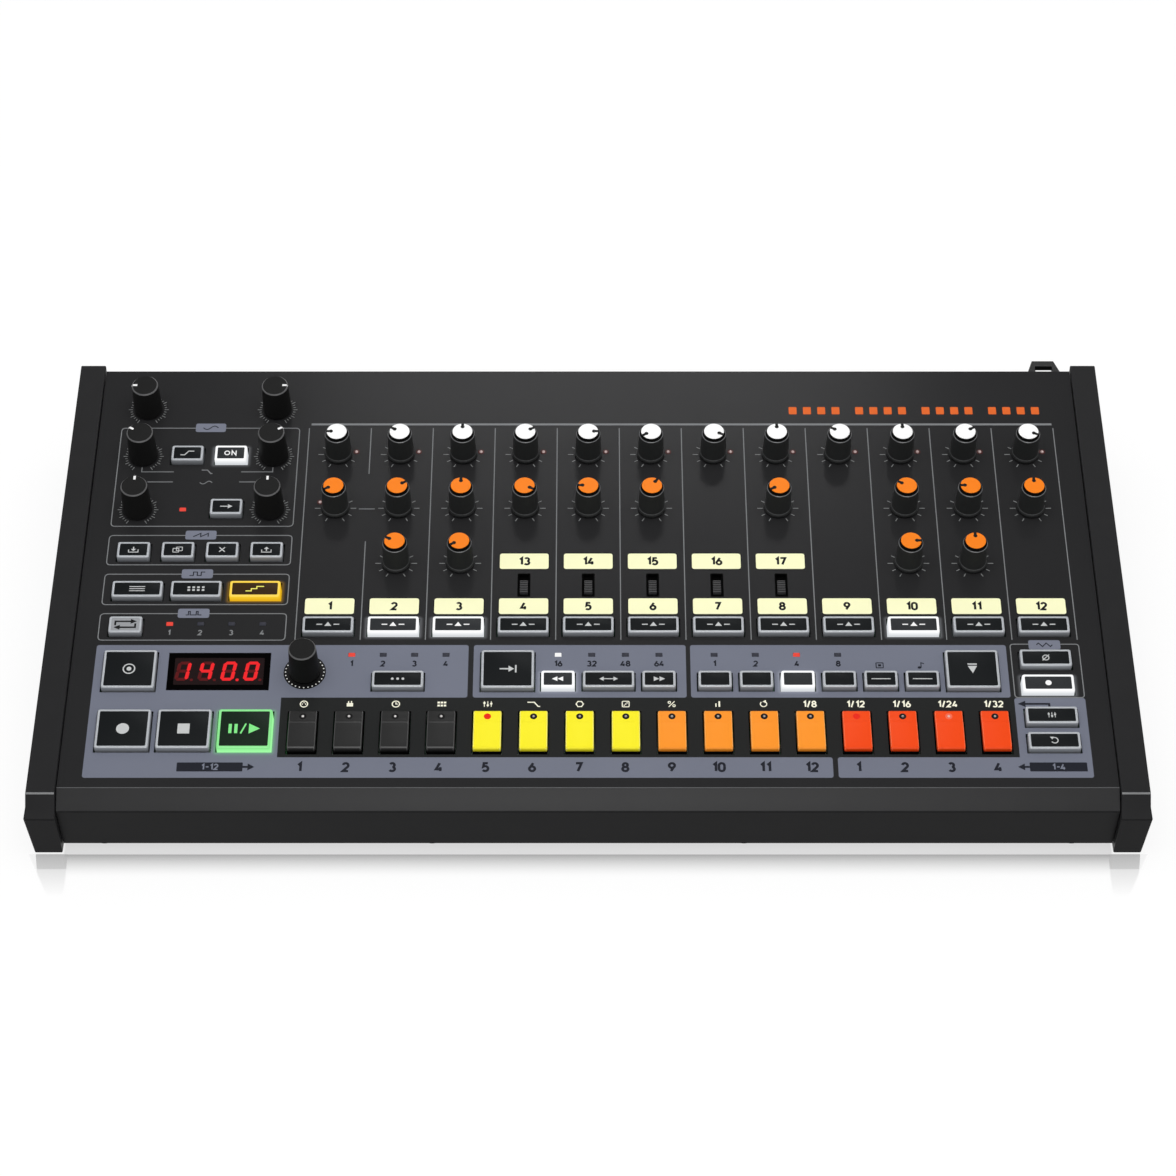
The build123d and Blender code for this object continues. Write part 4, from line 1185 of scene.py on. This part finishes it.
SEGMENT_HEIGHT = 10.7
SEGMENT_WIDTH = 6.2
SEGMENT_WEIGHT = 1.6
SEGMENT_GAP = 0.55
SEGMENT_TIP = 0.42
SLANT = math.tan(math.radians(8))
FACE_EDGES = (-187.6, -147.0, 56.2, 71.2)
DIGIT_XS = (-183.6, -173.2, -162.9, -152.6)
DIGIT_ROW = 63.8
POINT_STEP, POINT_ROW = 4.1, 58.9
SEGMENTS_ON = {"1": "bc", "4": "bcfg", "0": "abcdef"}
READING = "1400"
POINT_PLACE = 2
UNLIT, LIT = (-0.03, 2), (0.0, 3)


def segment_paths():
    """Centre lines of the seven bars of one figure, upright."""
    half_w, half_h = (SEGMENT_WIDTH - SEGMENT_WEIGHT) / 2, (SEGMENT_HEIGHT - SEGMENT_WEIGHT) / 2
    gap = SEGMENT_GAP
    level = {"a": half_h, "g": 0.0, "d": -half_h}
    paths = {bar: pairs(-half_w + gap, y, half_w - gap, y) for bar, y in level.items()}
    paths["b"] = pairs(half_w, half_h - gap, half_w, gap)
    paths["c"] = pairs(half_w, -gap, half_w, -half_h + gap)
    paths["f"] = pairs(-half_w, half_h - gap, -half_w, gap)
    paths["e"] = pairs(-half_w, -gap, -half_w, -half_h + gap)
    return paths


def segment_bar(path, level):
    """One bar with pointed ends: a hexagon about its centre line, then leant over by the slant."""
    start, end = path
    along = (end - start) / np.linalg.norm(end - start)
    side = np.array((-along[1], along[0])) * SEGMENT_WEIGHT / 2
    tip = along * SEGMENT_WEIGHT * SEGMENT_TIP
    outline = np.array((start - side, end - side, end + tip, end + side, start + side, start - tip))
    outline[:, 0] += outline[:, 1] * SLANT
    return plate(outline, level - 0.03, level)


display = Shape()
window_outline = soft_box(WINDOW_SIZE[0] - 0.2, WINDOW_SIZE[1] - 0.2, 0.3, 2)
display.add(plate(window_outline, -1.5, -0.1), WINDOW_SPOT)
display.add(plate(box_between(*FACE_EDGES, 0.3, 2), -0.2, -0.06), mark=1)
for x, figure in zip(DIGIT_XS, READING):
    for bar, path in segment_paths().items():
        level, mark = LIT if bar in SEGMENTS_ON[figure] else UNLIT
        display.add(segment_bar(path, level), (x, DIGIT_ROW), mark=mark)
point = plate(arc((0, 0), 0.75, 0, 330, 11), -0.03, 0.0)
for place, x in enumerate(DIGIT_XS):
    _, mark = LIT if place == POINT_PLACE else UNLIT
    display.add(point, (x + POINT_STEP, POINT_ROW), mark=mark)
display_finishes = "display_filter display_face segment_off segment_on"
made("display_front", display, "housing", display_finishes, ("display_window",))

# ---------------------------------------------------------------- lights

DOME_PROFILE = ((0, -4.0), (0.8, -4.0), (0.8, 0.1), (0.73, 0.3), (0.54, 0.48), (0.27, 0.57), (0, 0.6))
DOT_RING = ((0, 0.0), (1.45, 0.0), (1.5, 0.06), (1.35, 0.1), (0, 0.1))
LIGHT_MARKS = {0: 1, 1: 1, 5: 1, 9: 2, 15: 1}
lights = Shape()
guide_outline = soft_box(*LIGHT_SIZE, 0.35, 3)
guide = stack([guide_outline, guide_outline, soft_box(2.6, 1.6, 0.3, 3)], (-4.0, 0.12, 0.25))
for place, spot in enumerate(light_spots):
    lights.add(guide, spot, mark=LIGHT_MARKS.get(place, 0))
lights.repeat(turned(DOME_PROFILE, 24), dot_spots, 3)
lights.repeat(turned(DOT_RING, 24), dot_spots, 4)
light_finishes = "light_guide light_red light_pale light_dot light_dot_ring"
made("deck_lights", lights, "housing", light_finishes, ("indicator_lights",))

# ---------------------------------------------------------------- knobs

CAPPED_BANDS = (
    (((0, 0.8), (6.3, 0.8), (6.5, 1.0), (6.5, 2.0), (6.15, 2.3), (5.72, 14.9), (5.68, 15.16)), 0),
    # The shoulder's bevel, in a painted highlight
    (((5.68, 15.16), (5.42, 15.44)), 1),
    # The ring, groove and disc side, in painted shade
    (((5.42, 15.44), (5.05, 15.44), (4.95, 15.2), (4.74, 15.2), (4.72, 17.02)), 6),
    (((4.72, 17.02), (4.62, 17.18), (4.4, 17.2), (0, 17.2)), 2),
    # The line above the skirt, in a painted highlight
    (((6.32, 2.5), (6.24, 2.72), (6.12, 2.94)), 5),
)
TALL_BANDS = (
    (((0, 0.8), (6.75, 0.8), (6.95, 1.0), (6.9, 2.4), (6.25, 16.9), (6.22, 17.36)), 0),
    # The top chamfer, in a painted highlight
    (((6.22, 17.36), (5.72, 17.96)), 6),
    (((5.72, 17.96), (5.6, 18.0), (0, 18.0)), 0),
)
POINTER_INNER = 2.7
KNOB_FINISHES = "knob_skirt knob_edge {} black_ink pointer_paint knob_foot_line knob_well"
TALL_FINISHES = "tall_knob_skirt knob_edge white_disc black_ink pointer_paint knob_foot_line knob_rim"
REST_HALF_TURN = 150.0


def knob_form(shape, bands, parts, spot, angle):
    """A turned knob in bands, each a stretch of the profile with its own finish, and the parts of its
    pointer. The stretches with corners inside them are eased."""
    for profile, mark in bands:
        eased = rounded_profile(profile, 0.3) if len(profile) > 2 else profile
        shape.add(turned(eased, 64), spot, angle, mark)
    for drawn, mark in parts:
        shape.add(drawn, spot, angle, mark)


capped_pointer = (
    (ribbon(((0, POINTER_INNER), (0, 4.7)), 1.35, 17.0, 17.24), 3),
    (plate(arc((0, POINTER_INNER), 0.95, 0, 330, 11), 17.0, 17.25), 3),
)
tall_pointer = (
    (ribbon(((0, 3.6), (0, 5.7)), 1.1, 17.6, 18.03), 4),
    (plate(pairs(-0.55, 5.6, 0.55, 5.6, 0.55, 6.2, -0.55, 6.2), 17.0, 17.55), 4),
)
for body, hinge in HINGES.items():
    node = body.removesuffix("_body")
    spot = DECK.read(hinge["pos_m"])[:2]
    angle = hinge["range_deg"][1] - REST_HALF_TURN if "range_deg" in hinge else 0.0
    knob = Shape()
    if node.startswith(("level", "tone", "colour")):
        knob_form(knob, CAPPED_BANDS, capped_pointer, spot, angle)
        finishes = KNOB_FINISHES.format("white_disc" if node.startswith("level") else "orange_disc")
    else:
        knob_form(knob, TALL_BANDS, () if node == "data_encoder" else tall_pointer, spot, angle)
        finishes = TALL_FINISHES
    made(f"{node}_cap", knob, body, finishes, (node,), 30.0)

# ---------------------------------------------------------------- push-buttons

# Levels of a cap and of the legend plate sunk in it: height, inset from the outline, corner radius
CAP_LEVELS = (
    (-4.0, 0.0, 1.15), (2.2, 0.1, 1.15), (2.52, 0.18, 1.15), (2.72, 0.36, 1.1), (2.8, 0.6, 1.0),
    (2.8, 1.05, 0.7), (2.74, 1.22, 0.6), (2.4, 1.26, 0.6),
)
FILM_LEVELS = ((2.3, 1.25, 0.6), (2.56, 1.25, 0.6), (2.6, 1.35, 0.5))
DARK_FILM, PALE_FILM = 4, 8
CAP_FINISHES = (
    "cap_plastic cap_lit_white cap_lit_yellow cap_lit_green "
    "legend_film film_lit_white film_lit_yellow film_lit_green film_pale"
)
SIGN_LOW, SIGN_HIGH = 2.5, 2.66
SIGN_FINISHES = "sign_ink sign_lit_white sign_lit_yellow sign_lit_green black_ink"
DARK_SIGN = 4
SYNC_PLACE = 7
SMALL_WORDS = ["slope", "on", "send", "store", "copy", "cross", "dump", "loop", "back", "ahead", *4 * [""]]
SMALL_WORDS += "dash dash bars grid stair dots span mute solo faders turn".split()
LARGE_WORDS = "tap record stop play scroll strike".split()
# Each group: its (spots, size) rows, lit caps, pale legend plates, signs and the finishes of its signs
BUTTONS = {
    "select": ([(select_spots, WIDE_BUTTON)], select_lamps, (), CHANNELS * ["select"], select_lamps),
    "small": (
        [(small_spots, SMALL_BUTTON), (wide_spots, WIDE_BUTTON)],
        small_lamps, (SYNC_PLACE,), SMALL_WORDS, {**small_lamps, SYNC_PLACE: DARK_SIGN},
    ),
    "large": ([(large_spots, LARGE_BUTTON)], large_lamps, (), LARGE_WORDS, large_lamps),
}


def layered(size, levels):
    """A rectangle drawn in by an inset at each level, with its own corner radius."""
    width, depth = size
    outlines = [soft_box(width - 2 * inset, depth - 2 * inset, radius) for _, inset, radius in levels]
    return stack(outlines, [level for level, _, _ in levels])


for group, (rows, lamps, pale, _, _) in BUTTONS.items():
    shape = Shape()
    body = f"{group}_buttons_body"
    sized = [(spot, size) for spots, size in rows for spot in spots]
    for place, (spot, size) in enumerate(sized):
        lamp = lamps.get(place, 0)
        shape.add(layered(size, CAP_LEVELS), spot, mark=lamp)
        shape.add(layered(size, FILM_LEVELS), spot, mark=PALE_FILM if place in pale else DARK_FILM + lamp)
    made(f"{group}_caps", shape, body, CAP_FINISHES, (f"{group}_buttons",))
for group, (rows, _, _, words, sign_marks) in BUTTONS.items():
    shape = Shape()
    spots = [spot for spots, _ in rows for spot in spots]
    for place, (spot, word) in enumerate(zip(spots, words)):
        draw(shape, SIGNS[word], spot, SIGN_LOW, SIGN_HIGH, sign_marks.get(place, 0))
    made(f"{group}_signs", shape, f"{group}_buttons_body", SIGN_FINISHES)

# ---------------------------------------------------------------- step keys

KEY_BOTTOM = -5.0
KEY_WAIST = 0.15
# At stations along the key from its front: the height of its face and the inset of its sides
KEY_ALONG = (
    0.9, 0.93, 1.1, 1.5, 2.1, 2.9, 5, 8, 12, 15.6, 15.9, 16.05, 16.1, 16.3, 19, 21.6, 22.1, 22.35, 22.4,
)
KEY_HEIGHTS = (
    0.9, 1.4, 1.84, 2.1, 2.22, 2.26, 2.2, 2.06, 1.92, 1.8, 1.75, 1.64, 1.42, 1.32, 1.3, 1.3, 1.22, 1.0, 0.7,
)
KEY_INSETS = (0.35, 0.3, 0.22, 0.1, *12 * (0.0,), 0.08, 0.25, 0.35)
BRINKS = ((15.3, 15.9), (1.4, 1.6))
KEY_EDGE = 0.4
KEY_GAP = 0.15
KEY_STEM = 0.1


def key_form():
    """A step key: at each station along it, a section with a straight stem up to the waist, drafted
    sides and eased upper edges. Its groups are skin, both ends, eased edges, the brinks of the ledge
    and of the front, stem, and both ends of the stem."""
    along, height, inset = np.array((KEY_ALONG, KEY_HEIGHTS, KEY_INSETS))
    ease = np.minimum(KEY_EDGE, height - 0.3)
    half = KEY_WIDTH / 2 - KEY_GAP - inset
    turn = np.radians(np.linspace(0, 90, 5))
    shoulder_x = half[:, None] - ease[:, None] * (1 - np.cos(turn))
    shoulder_z = height[:, None] - ease[:, None] * (1 - np.sin(turn))
    flat = np.ones(len(along))
    right_x = np.column_stack((half + KEY_STEM, half + KEY_STEM, shoulder_x))
    right_z = np.column_stack((KEY_BOTTOM * flat, KEY_WAIST * flat, shoulder_z))
    across = np.column_stack((right_x, -right_x[:, ::-1]))
    level = np.column_stack((right_z, right_z[:, ::-1]))
    reach = np.broadcast_to((along - KEY_LENGTH / 2)[:, None], across.shape)
    points = np.stack((across, reach, level), axis=-1).reshape(-1, 3)
    columns = across.shape[1]
    skin = grid_faces(len(along), columns, around=True).reshape(len(along) - 1, columns, 4)
    column = np.arange(columns)[None, :]
    from_side = np.minimum(column, columns - 2 - column)
    upper = np.broadcast_to(from_side >= 1, skin.shape[:2])
    begins = along[:-1, None]
    brink = upper & sum((begins > start) & (begins < end) for start, end in BRINKS).astype(bool)
    eased = upper & ~brink & (from_side > 1) & (from_side < 1 + len(turn))
    rim = np.arange(columns)
    front_top, front_stem = rim[None, -2:0:-1], rim[None, [-1, -2, 1, 0]]
    last = len(points) - columns
    return points, (
        skin[upper & ~eased & ~brink], front_top, front_top[:, ::-1] + last, skin[eased], skin[brink],
        skin[~upper], front_stem, front_stem[:, ::-1] + last,
    )


KEY_MIDDLE = KEY_FRONT + KEY_LENGTH / 2
LIGHT_MIDDLE = KEY_FRONT + KEY_LENGTH - KEY_LEDGE / 2
KEY_COLLAR = ((0, 1.2), (1.6, 1.2), (1.6, 1.36), (1.45, 1.42), (1.25, 1.34), (0, 1.34))
KEY_DOME = ((0, 1.3), (0.6, 1.3), (0.57, 1.5), (0.45, 1.66), (0.24, 1.75), (0, 1.78))
# Finish numbers of the collar and the dome of each lit key, and of the others
KEY_LAMPS = {4: (3, 3), 12: (3, 3), 14: (6, 4)}
KEY_UNLIT = (1, 2)
for group, colour in enumerate(("black", "yellow", "orange", "red")):
    node = f"step_keys_{colour}"
    keys = Shape()
    dark = colour == "black"
    for place in range(4 * group, 4 * group + 4):
        x = key_xs[place]
        collar_mark, dome_mark = KEY_LAMPS.get(place, KEY_UNLIT)
        # The stem below the waist takes black ink, painted shade where the key sinks into its slot
        keys.add(key_form(), (x, KEY_MIDDLE), mark=[0, 0, 0, 5, 5 if dark else 0, 1, 1, 1])
        keys.add(turned(KEY_COLLAR, 28), (x, LIGHT_MIDDLE), mark=collar_mark)
        keys.add(turned(KEY_DOME, 24), (x, LIGHT_MIDDLE), mark=dome_mark)
    dome = "light_dome_pale" if dark else "light_dome"
    # Finish 5 is a painted highlight on the eased edges, and on the black keys on the brinks too
    finishes = f"key_{colour} black_ink {dome} key_light_red light_rose key_edge_{colour} key_light_rose"
    made(f"{colour}_keys", keys, f"{node}_body", finishes, (node,))

# ---------------------------------------------------------------- slide switches

SLIDE_SLOT = (5.4, 13.0)
SLOT_MIDDLE = 113.1
CAP_MIDDLE = 112.2
SLIDE_CAP = (3.7, 7.2)
CAP_BOTTOM = -3.6
GROOVE_LEVEL = 0.2
slot_width, slot_length = SLIDE_SLOT
slot_spots = [(x, SLOT_MIDDLE) for x in slide_xs]
# The slots and a thin rim around each on the deck are black, as painted shade
wells = Shape()
for growth, weight, low, high in ((0.1, 0.45, UNDER, 0.07), (-0.45, 0.4, -3.0, 0.03)):
    outline = soft_box(slot_width + growth, slot_length + growth, 0.3, 3)
    wells.repeat(ribbon(outline, weight, low, high, True), slot_spots)
wells.repeat(plate(soft_box(slot_width, slot_length, 0.3, 2), -3.0, -1.6), slot_spots)
made("slide_wells", wells, "housing", "slide_pit")


def ribbed_cap(width, length, ribs=7):
    """A finger piece: its top is a grid whose height rises and falls as the square of a sine along
    it, and its rim drops straight to the switch. Its last group is the grooves, which take painted
    shade."""
    along = np.linspace(-length / 2, length / 2, 12 * ribs + 1)
    across = np.linspace(-width / 2, width / 2, 9)
    wave = np.sin(np.pi * ribs * (along / length + 0.5)) ** 2
    fade = np.clip((width / 2 - np.abs(across)) / 0.35, 0, 1)
    level = 0.05 + 0.5 * wave[:, None] * fade[None, :]
    top = np.stack(np.broadcast_arrays(across[None, :], along[:, None], level), axis=-1)
    skirt = np.pad(top, ((1, 1), (1, 1), (0, 0)), mode="edge")
    skirt[[0, -1], :, 2] = CAP_BOTTOM
    skirt[:, [0, -1], 2] = CAP_BOTTOM
    rows, columns = skirt.shape[:2]
    rim = np.concatenate((
        np.arange(columns), columns * np.arange(1, rows) + columns - 1,
        (rows - 1) * columns + np.arange(columns - 2, -1, -1), columns * np.arange(rows - 2, 0, -1),
    ))[None]
    faces = grid_faces(rows, columns)
    low = skirt[1:-2, :, 2].max(axis=1) < GROOVE_LEVEL
    groove = np.repeat(np.concatenate(([False], low, [False])), columns - 1)
    return skirt.reshape(-1, 3), [faces[~groove], rim[:, ::-1], faces[groove]]


caps = Shape()
# The grooves take black ink as painted shade
caps.repeat(ribbed_cap(*SLIDE_CAP), [(x, CAP_MIDDLE) for x in slide_xs], [0, 0, 1])
slide_finishes = "slide_plastic black_ink"
made("slide_finger_caps", caps, "slide_caps_body", slide_finishes, ("slide_caps",), 50.0)

# ---------------------------------------------------------------- back

SOCKET_Z = 31.0
BACK_PRINT_Z = 43.0
jack_xs = -74.0 + 18.0 * np.arange(14)
mini_xs = -140.0 + 12.0 * np.arange(5)
din_xs = -198.0 + 20.0 * np.arange(3)
USB_X, DC_X, ROCKER_X = -220.0, 217.0, 190.0
ROCKER_SIGN_STEP = 15.5


def back_spots(*xs, up=0.0):
    """Places on the back, whose own across runs to the left."""
    return [(-x, SOCKET_Z + up) for x in xs]


def circle(radius, steps=48):
    """A circle by angle."""
    return radius * unit_circle(full_turn(steps))


def hexagon(radius):
    """The outline of a six-sided nut by angle: its flat's distance over the cosine of the angle
    from the middle of that flat."""
    turn = full_turn(48)
    off = (turn % (np.pi / 3)) - np.pi / 6
    return (radius * math.cos(np.pi / 6) / np.cos(off))[:, None] * unit_circle(turn)


def pierced(outer, bore, low, high):
    """A nut or flange with a round bore: its outer outline, given by angle, joined to the bore's
    circle at both ends."""
    inner = circle(bore, len(outer))
    rings = [(inner, low), (outer, low), (outer, high), (inner, high)]
    points = np.concatenate([at_level(ring, level) for ring, level in rings])
    return points, [grid_faces(4, len(outer), around=True, looped=True)]


def fitting(name, slot, hides, finishes, *parts):
    """Makes a piece on the back from parts given as (drawn, spots, finish number)."""
    shape = Shape(BACK)
    for drawn, spots, mark in parts:
        shape.repeat(drawn, spots, mark)
    made(name, shape, "housing", finishes, (hides,), 30.0)


PLASTIC, METAL, PALE = 0, 1, 2
jack_spots = back_spots(*jack_xs)
fitting(
    "output_sockets", "jack_plastic", "output_jacks", "black_plastic nickel",
    (pierced(circle(7.2), 4.4, 0.0, 0.5), jack_spots, METAL),
    (pierced(hexagon(6.6), 4.2, 0.4, 2.4), jack_spots, PLASTIC),
    (pierced(circle(4.4), 3.2, -14.0, 2.9), jack_spots, PLASTIC),
    (plate(soft_box(15.0, 13.0, 0.6, 3), -24.0, -14.0), jack_spots, PLASTIC),
    (pierced(circle(3.9), 3.2, 2.4, 3.0), jack_spots, METAL),
)
mini_spots = back_spots(*mini_xs)
fitting(
    "clock_sockets", "black_plastic", "mini_jacks", "black_plastic nickel",
    (pierced(hexagon(4.4), 3.0, 0.0, 1.3), mini_spots, METAL),
    (pierced(circle(3.0), 1.78, -11.0, 1.7), mini_spots, METAL),
    (plate(soft_box(8.0, 10.0, 0.4, 3), -13.5, -11.0), mini_spots, PLASTIC),
)
din_spots = back_spots(*din_xs)
pin_steps = 4.2 * unit_circle(np.radians(180 + 45 * np.arange(5)))
usb_spots = back_spots(USB_X)
fitting(
    "data_socket_fronts", "black_plastic", "data_sockets", "black_plastic nickel pale_ink",
    (pierced(circle(8.6), 6.4, 0.0, 0.6), din_spots, METAL),
    (pierced(circle(7.4), 6.3, -8.5, 0.5), din_spots, PLASTIC),
    (plate(arc((0, 0), 6.3, 0, 350, 35), -9.5, -4.0), din_spots, PLASTIC),
    *((pierced(circle(0.95, 16), 0.55, -4.1, -3.7), np.array(din_spots) + step, METAL) for step in pin_steps),
    (ribbon(soft_box(10.6, 9.6, 1.0, 4), 1.2, -9.0, 0.6, True), usb_spots, METAL),
    (plate(soft_box(10.0, 9.0, 0.8, 4), -16.0, -8.8), usb_spots, PLASTIC),
    (plate(soft_box(5.6, 3.2, 0.3, 3), -9.0, -1.0), back_spots(USB_X, up=-0.6), PALE),
)

back_print = Shape(BACK)
for xs in (jack_xs, mini_xs, din_xs):
    for number, x in enumerate(sorted(xs, reverse=True), start=1):
        draw(back_print, figures(str(number), 3.4), (-x, BACK_PRINT_Z), UNDER, INK)
    left, right = -max(xs) - 8.6, -min(xs) + 8.6
    back_print.add(rule(((left, BACK_PRINT_Z + 4.4), (right, BACK_PRINT_Z + 4.4))))
for sign, up in (([line(0.5, 0, -1.5, 0, 1.5)], ROCKER_SIGN_STEP), ([ring(1.5, 0.5)], -ROCKER_SIGN_STEP)):
    draw(back_print, sign, (-ROCKER_X, SOCKET_Z + up), UNDER, INK)
on_deck("back_numbers", back_print, "line_ink")

DC_PIN = ((0, -9.5), (1.0, -9.5), (1.0, -1.0), (0.6, -0.5), (0, -0.4))
dc_spots, rocker_spots = back_spots(DC_X), back_spots(ROCKER_X)
fitting(
    "power_fittings", "black_plastic", "power_entry", "black_plastic nickel",
    (pierced(circle(5.0), 2.9, -9.5, 0.4), dc_spots, PLASTIC),
    (plate(soft_box(9.0, 11.0, 0.5, 3), -14.0, -9.4), dc_spots, PLASTIC),
    (turned(rounded_profile(DC_PIN, 0.2), 24), dc_spots, METAL),
    (ribbon(soft_box(13.4, 21.4, 1.4, 4), 2.6, 0.0, 1.2, True), rocker_spots, PLASTIC),
    (ribbon(soft_box(11.4, 19.4, 0.6, 3), 0.8, -12.0, 1.0, True), rocker_spots, PLASTIC),
    (plate(soft_box(11.4, 19.4, 0.6, 3), -12.0, -9.6), rocker_spots, PLASTIC),
)
eased_copy("rocker_cap", "power_rocker", "black_plastic", 0.35)

# ---------------------------------------------------------------- floor, light and camera

# The floor's mirror, in millimetres ahead of its start and aside from the middle
MIRROR_START = -130.4
MIRROR_RISE = 0.7
MIRROR_LEVEL = 1.0
MIRROR_REACH = 12.4
MIRROR_UNDER = 0.24
MIRROR_SHARE = 0.56
MIRROR_END, MIRROR_END_FADE = 100.0, 10
MIRROR_OVERLAP = 3.2
CHEEK_MIRROR_INNER = 232.0
CHEEK_MIRROR_OUTER = 250.9
CHEEK_MIRROR_SLANT = 0.45
CHEEK_MIRROR_RISE = 0.4
CHEEK_MIRROR_STEP, CHEEK_MIRROR_STEP_FADE = 9.1, 0.6
CHEEK_MIRROR_REACH = 24.6
CHEEK_MIRROR_NEAR = 0.18
CHEEK_MIRROR_FAR = 0.34
FLOOR_LIFT = 0.85
FLOOR_SHADE, FLOOR_LIGHT = ink(113, 113, 113), ink(116, 116, 116)
FLOOR_REACH = 9.0
AMBIENT = 0.6
RAY_KINDS = ("Camera", "Glossy", "Transmission")


def seen_rays(paths):
    """1 for a ray from the camera, from a mirror or through a clear body, and 0 for the rest."""
    camera_ray, mirror_ray, clear_ray = (Wire(paths[f"Is {kind} Ray"]) for kind in RAY_KINDS)
    return (camera_ray + mirror_ray + clear_ray).least(1.0)


def mix_shaders(tree, share, first, second, output):
    """Links an output to a mix of two shaders, as far towards the second as share says."""
    blend = tree.nodes.new("ShaderNodeMixShader")
    for socket, value in zip(blend.inputs, (share, Wire(first.outputs[0]), Wire(second.outputs[0]))):
        plug(tree, socket, value)
    tree.links.new(blend.outputs[0], output.inputs[0])


def floor_finish():
    """A pale studio floor, lifted to white for the camera and for mirrors. In front of the machine it
    mirrors a little: the share rises over MIRROR_RISE and then falls to nothing as a power of 1.5.
    In front of each cheek it falls along a straight line, with a step where the cheek's lower face
    ends."""
    finish = Finish("studio_floor", roughness=1.0, specular_ior_level=0.0, emission_strength=FLOOR_LIFT)
    x, y, _ = finish.spot()
    ahead = MIRROR_START - y / MM
    rise = (ahead / MIRROR_RISE).within()
    fall = (1.0 - (ahead - MIRROR_LEVEL) / MIRROR_REACH).within()
    middle = (MIRROR_UNDER + rise * (MIRROR_SHARE - MIRROR_UNDER)) * fall ** 1.5
    aside = abs(x) / MM
    before_edge = (CHEEK_MIRROR_OUTER - aside - ahead * CHEEK_MIRROR_SLANT).within()
    under_cheek = (aside - CHEEK_MIRROR_INNER).within() * before_edge
    step = ((CHEEK_MIRROR_STEP - ahead) / CHEEK_MIRROR_STEP_FADE).within() * CHEEK_MIRROR_NEAR
    slope = (1.0 - ahead / CHEEK_MIRROR_REACH).within() * CHEEK_MIRROR_FAR
    cheek = (slope + step) * (ahead / CHEEK_MIRROR_RISE).within()
    between = (CHEEK_MIRROR_INNER + MIRROR_OVERLAP - aside).within()
    share = (middle * between).most(cheek * under_cheek)
    paths = finish.node("ShaderNodeLightPath").outputs
    share = share * ((MIRROR_END - y / MM) / MIRROR_END_FADE).within() * Wire(paths["Is Camera Ray"])
    finish.set("Base Color", finish.mix(finish.noise(300.0), FLOOR_SHADE, FLOOR_LIGHT))
    finish.set("Emission Color", finish.mix(seen_rays(paths), (0, 0, 0, 1), (1, 1, 1, 1)))
    mirror = finish.node("ShaderNodeBsdfGlossy", roughness=0.06)
    output = next(node for node in finish.tree.nodes if node.type == "OUTPUT_MATERIAL")
    mix_shaders(finish.tree, share, finish.shader, mirror, output)
    return finish.material


floor_mesh = bpy.data.meshes.new("floor")
floor_points = at_level(FLOOR_REACH * unit_circle(full_turn(64)), 0)
floor_mesh.from_pydata(floor_points.tolist(), [], [list(range(64))])
floor_mesh.materials.append(floor_finish())
floor = bpy.data.objects.new("floor", floor_mesh)
bpy.context.scene.collection.objects.link(floor)

world = bpy.data.worlds.new("studio")
bpy.context.scene.world = world
world.use_nodes = True
sky = world.node_tree
sky.nodes.clear()
shades = []
for strength in (AMBIENT, 1.0):
    shade = sky.nodes.new("ShaderNodeBackground")
    shade.inputs["Color"].default_value = (1, 1, 1, 1)
    shade.inputs["Strength"].default_value = strength
    shades.append(shade)
sky_share = seen_rays(sky.nodes.new("ShaderNodeLightPath").outputs)
mix_shaders(sky, sky_share, *shades, sky.nodes.new("ShaderNodeOutputWorld"))

# Name, place, the point it looks at, width and height in metres, watts, and whether matt surfaces see it
SOFTBOXES = (
    ("back_softbox", (0.012, 1.07, 1.36), (0, 0.1, 0.06), (0.56, 0.26), 7.2, False),
    ("front_softbox", (0, -1.0, 1.52), (0, -0.12, 0.03), (0.5, 0.24), 15.0, False),
    ("front_softbox", (0, -1.0, 1.52), (0, -0.12, 0.03), (1.3, 0.24), 13.0, False),
    ("front_softbox", (0, -1.35, 1.0), (0, -0.12, 0.03), (1.3, 0.24), 13.0, False),
    ("overhead_softbox", (0, -0.1, 1.7), (0, 0, 0.05), (1.8, 1.2), 14.0, True),
)
for name, place, aim, size, power, diffuse in SOFTBOXES:
    lamp = bpy.data.lights.new(name, "AREA")
    lamp.shape = "RECTANGLE"
    lamp.size, lamp.size_y = size
    lamp.energy = power
    holder = bpy.data.objects.new(name, lamp)
    holder.location = place
    away = np.array(place, float) - np.array(aim, float)
    tilt = math.atan2(math.hypot(away[0], away[1]), away[2])
    holder.rotation_euler = (tilt, 0, math.atan2(away[0], -away[1]))
    holder.visible_diffuse = diffuse
    bpy.context.scene.collection.objects.link(holder)

CAMERA_PLACE = (0.0, -1.0463, 1.1307)
CAMERA_TILT = 43.7
LENS, SENSOR = 99.15, 36.0
camera_data = bpy.data.cameras.new("camera")
camera_data.sensor_width = SENSOR
camera_data.lens = LENS
camera = bpy.data.objects.new("camera", camera_data)
camera.location = CAMERA_PLACE
camera.rotation_euler = (math.radians(CAMERA_TILT), 0, 0)
bpy.context.scene.collection.objects.link(camera)
bpy.context.scene.camera = camera
bpy.context.scene.view_settings.view_transform = "Standard"
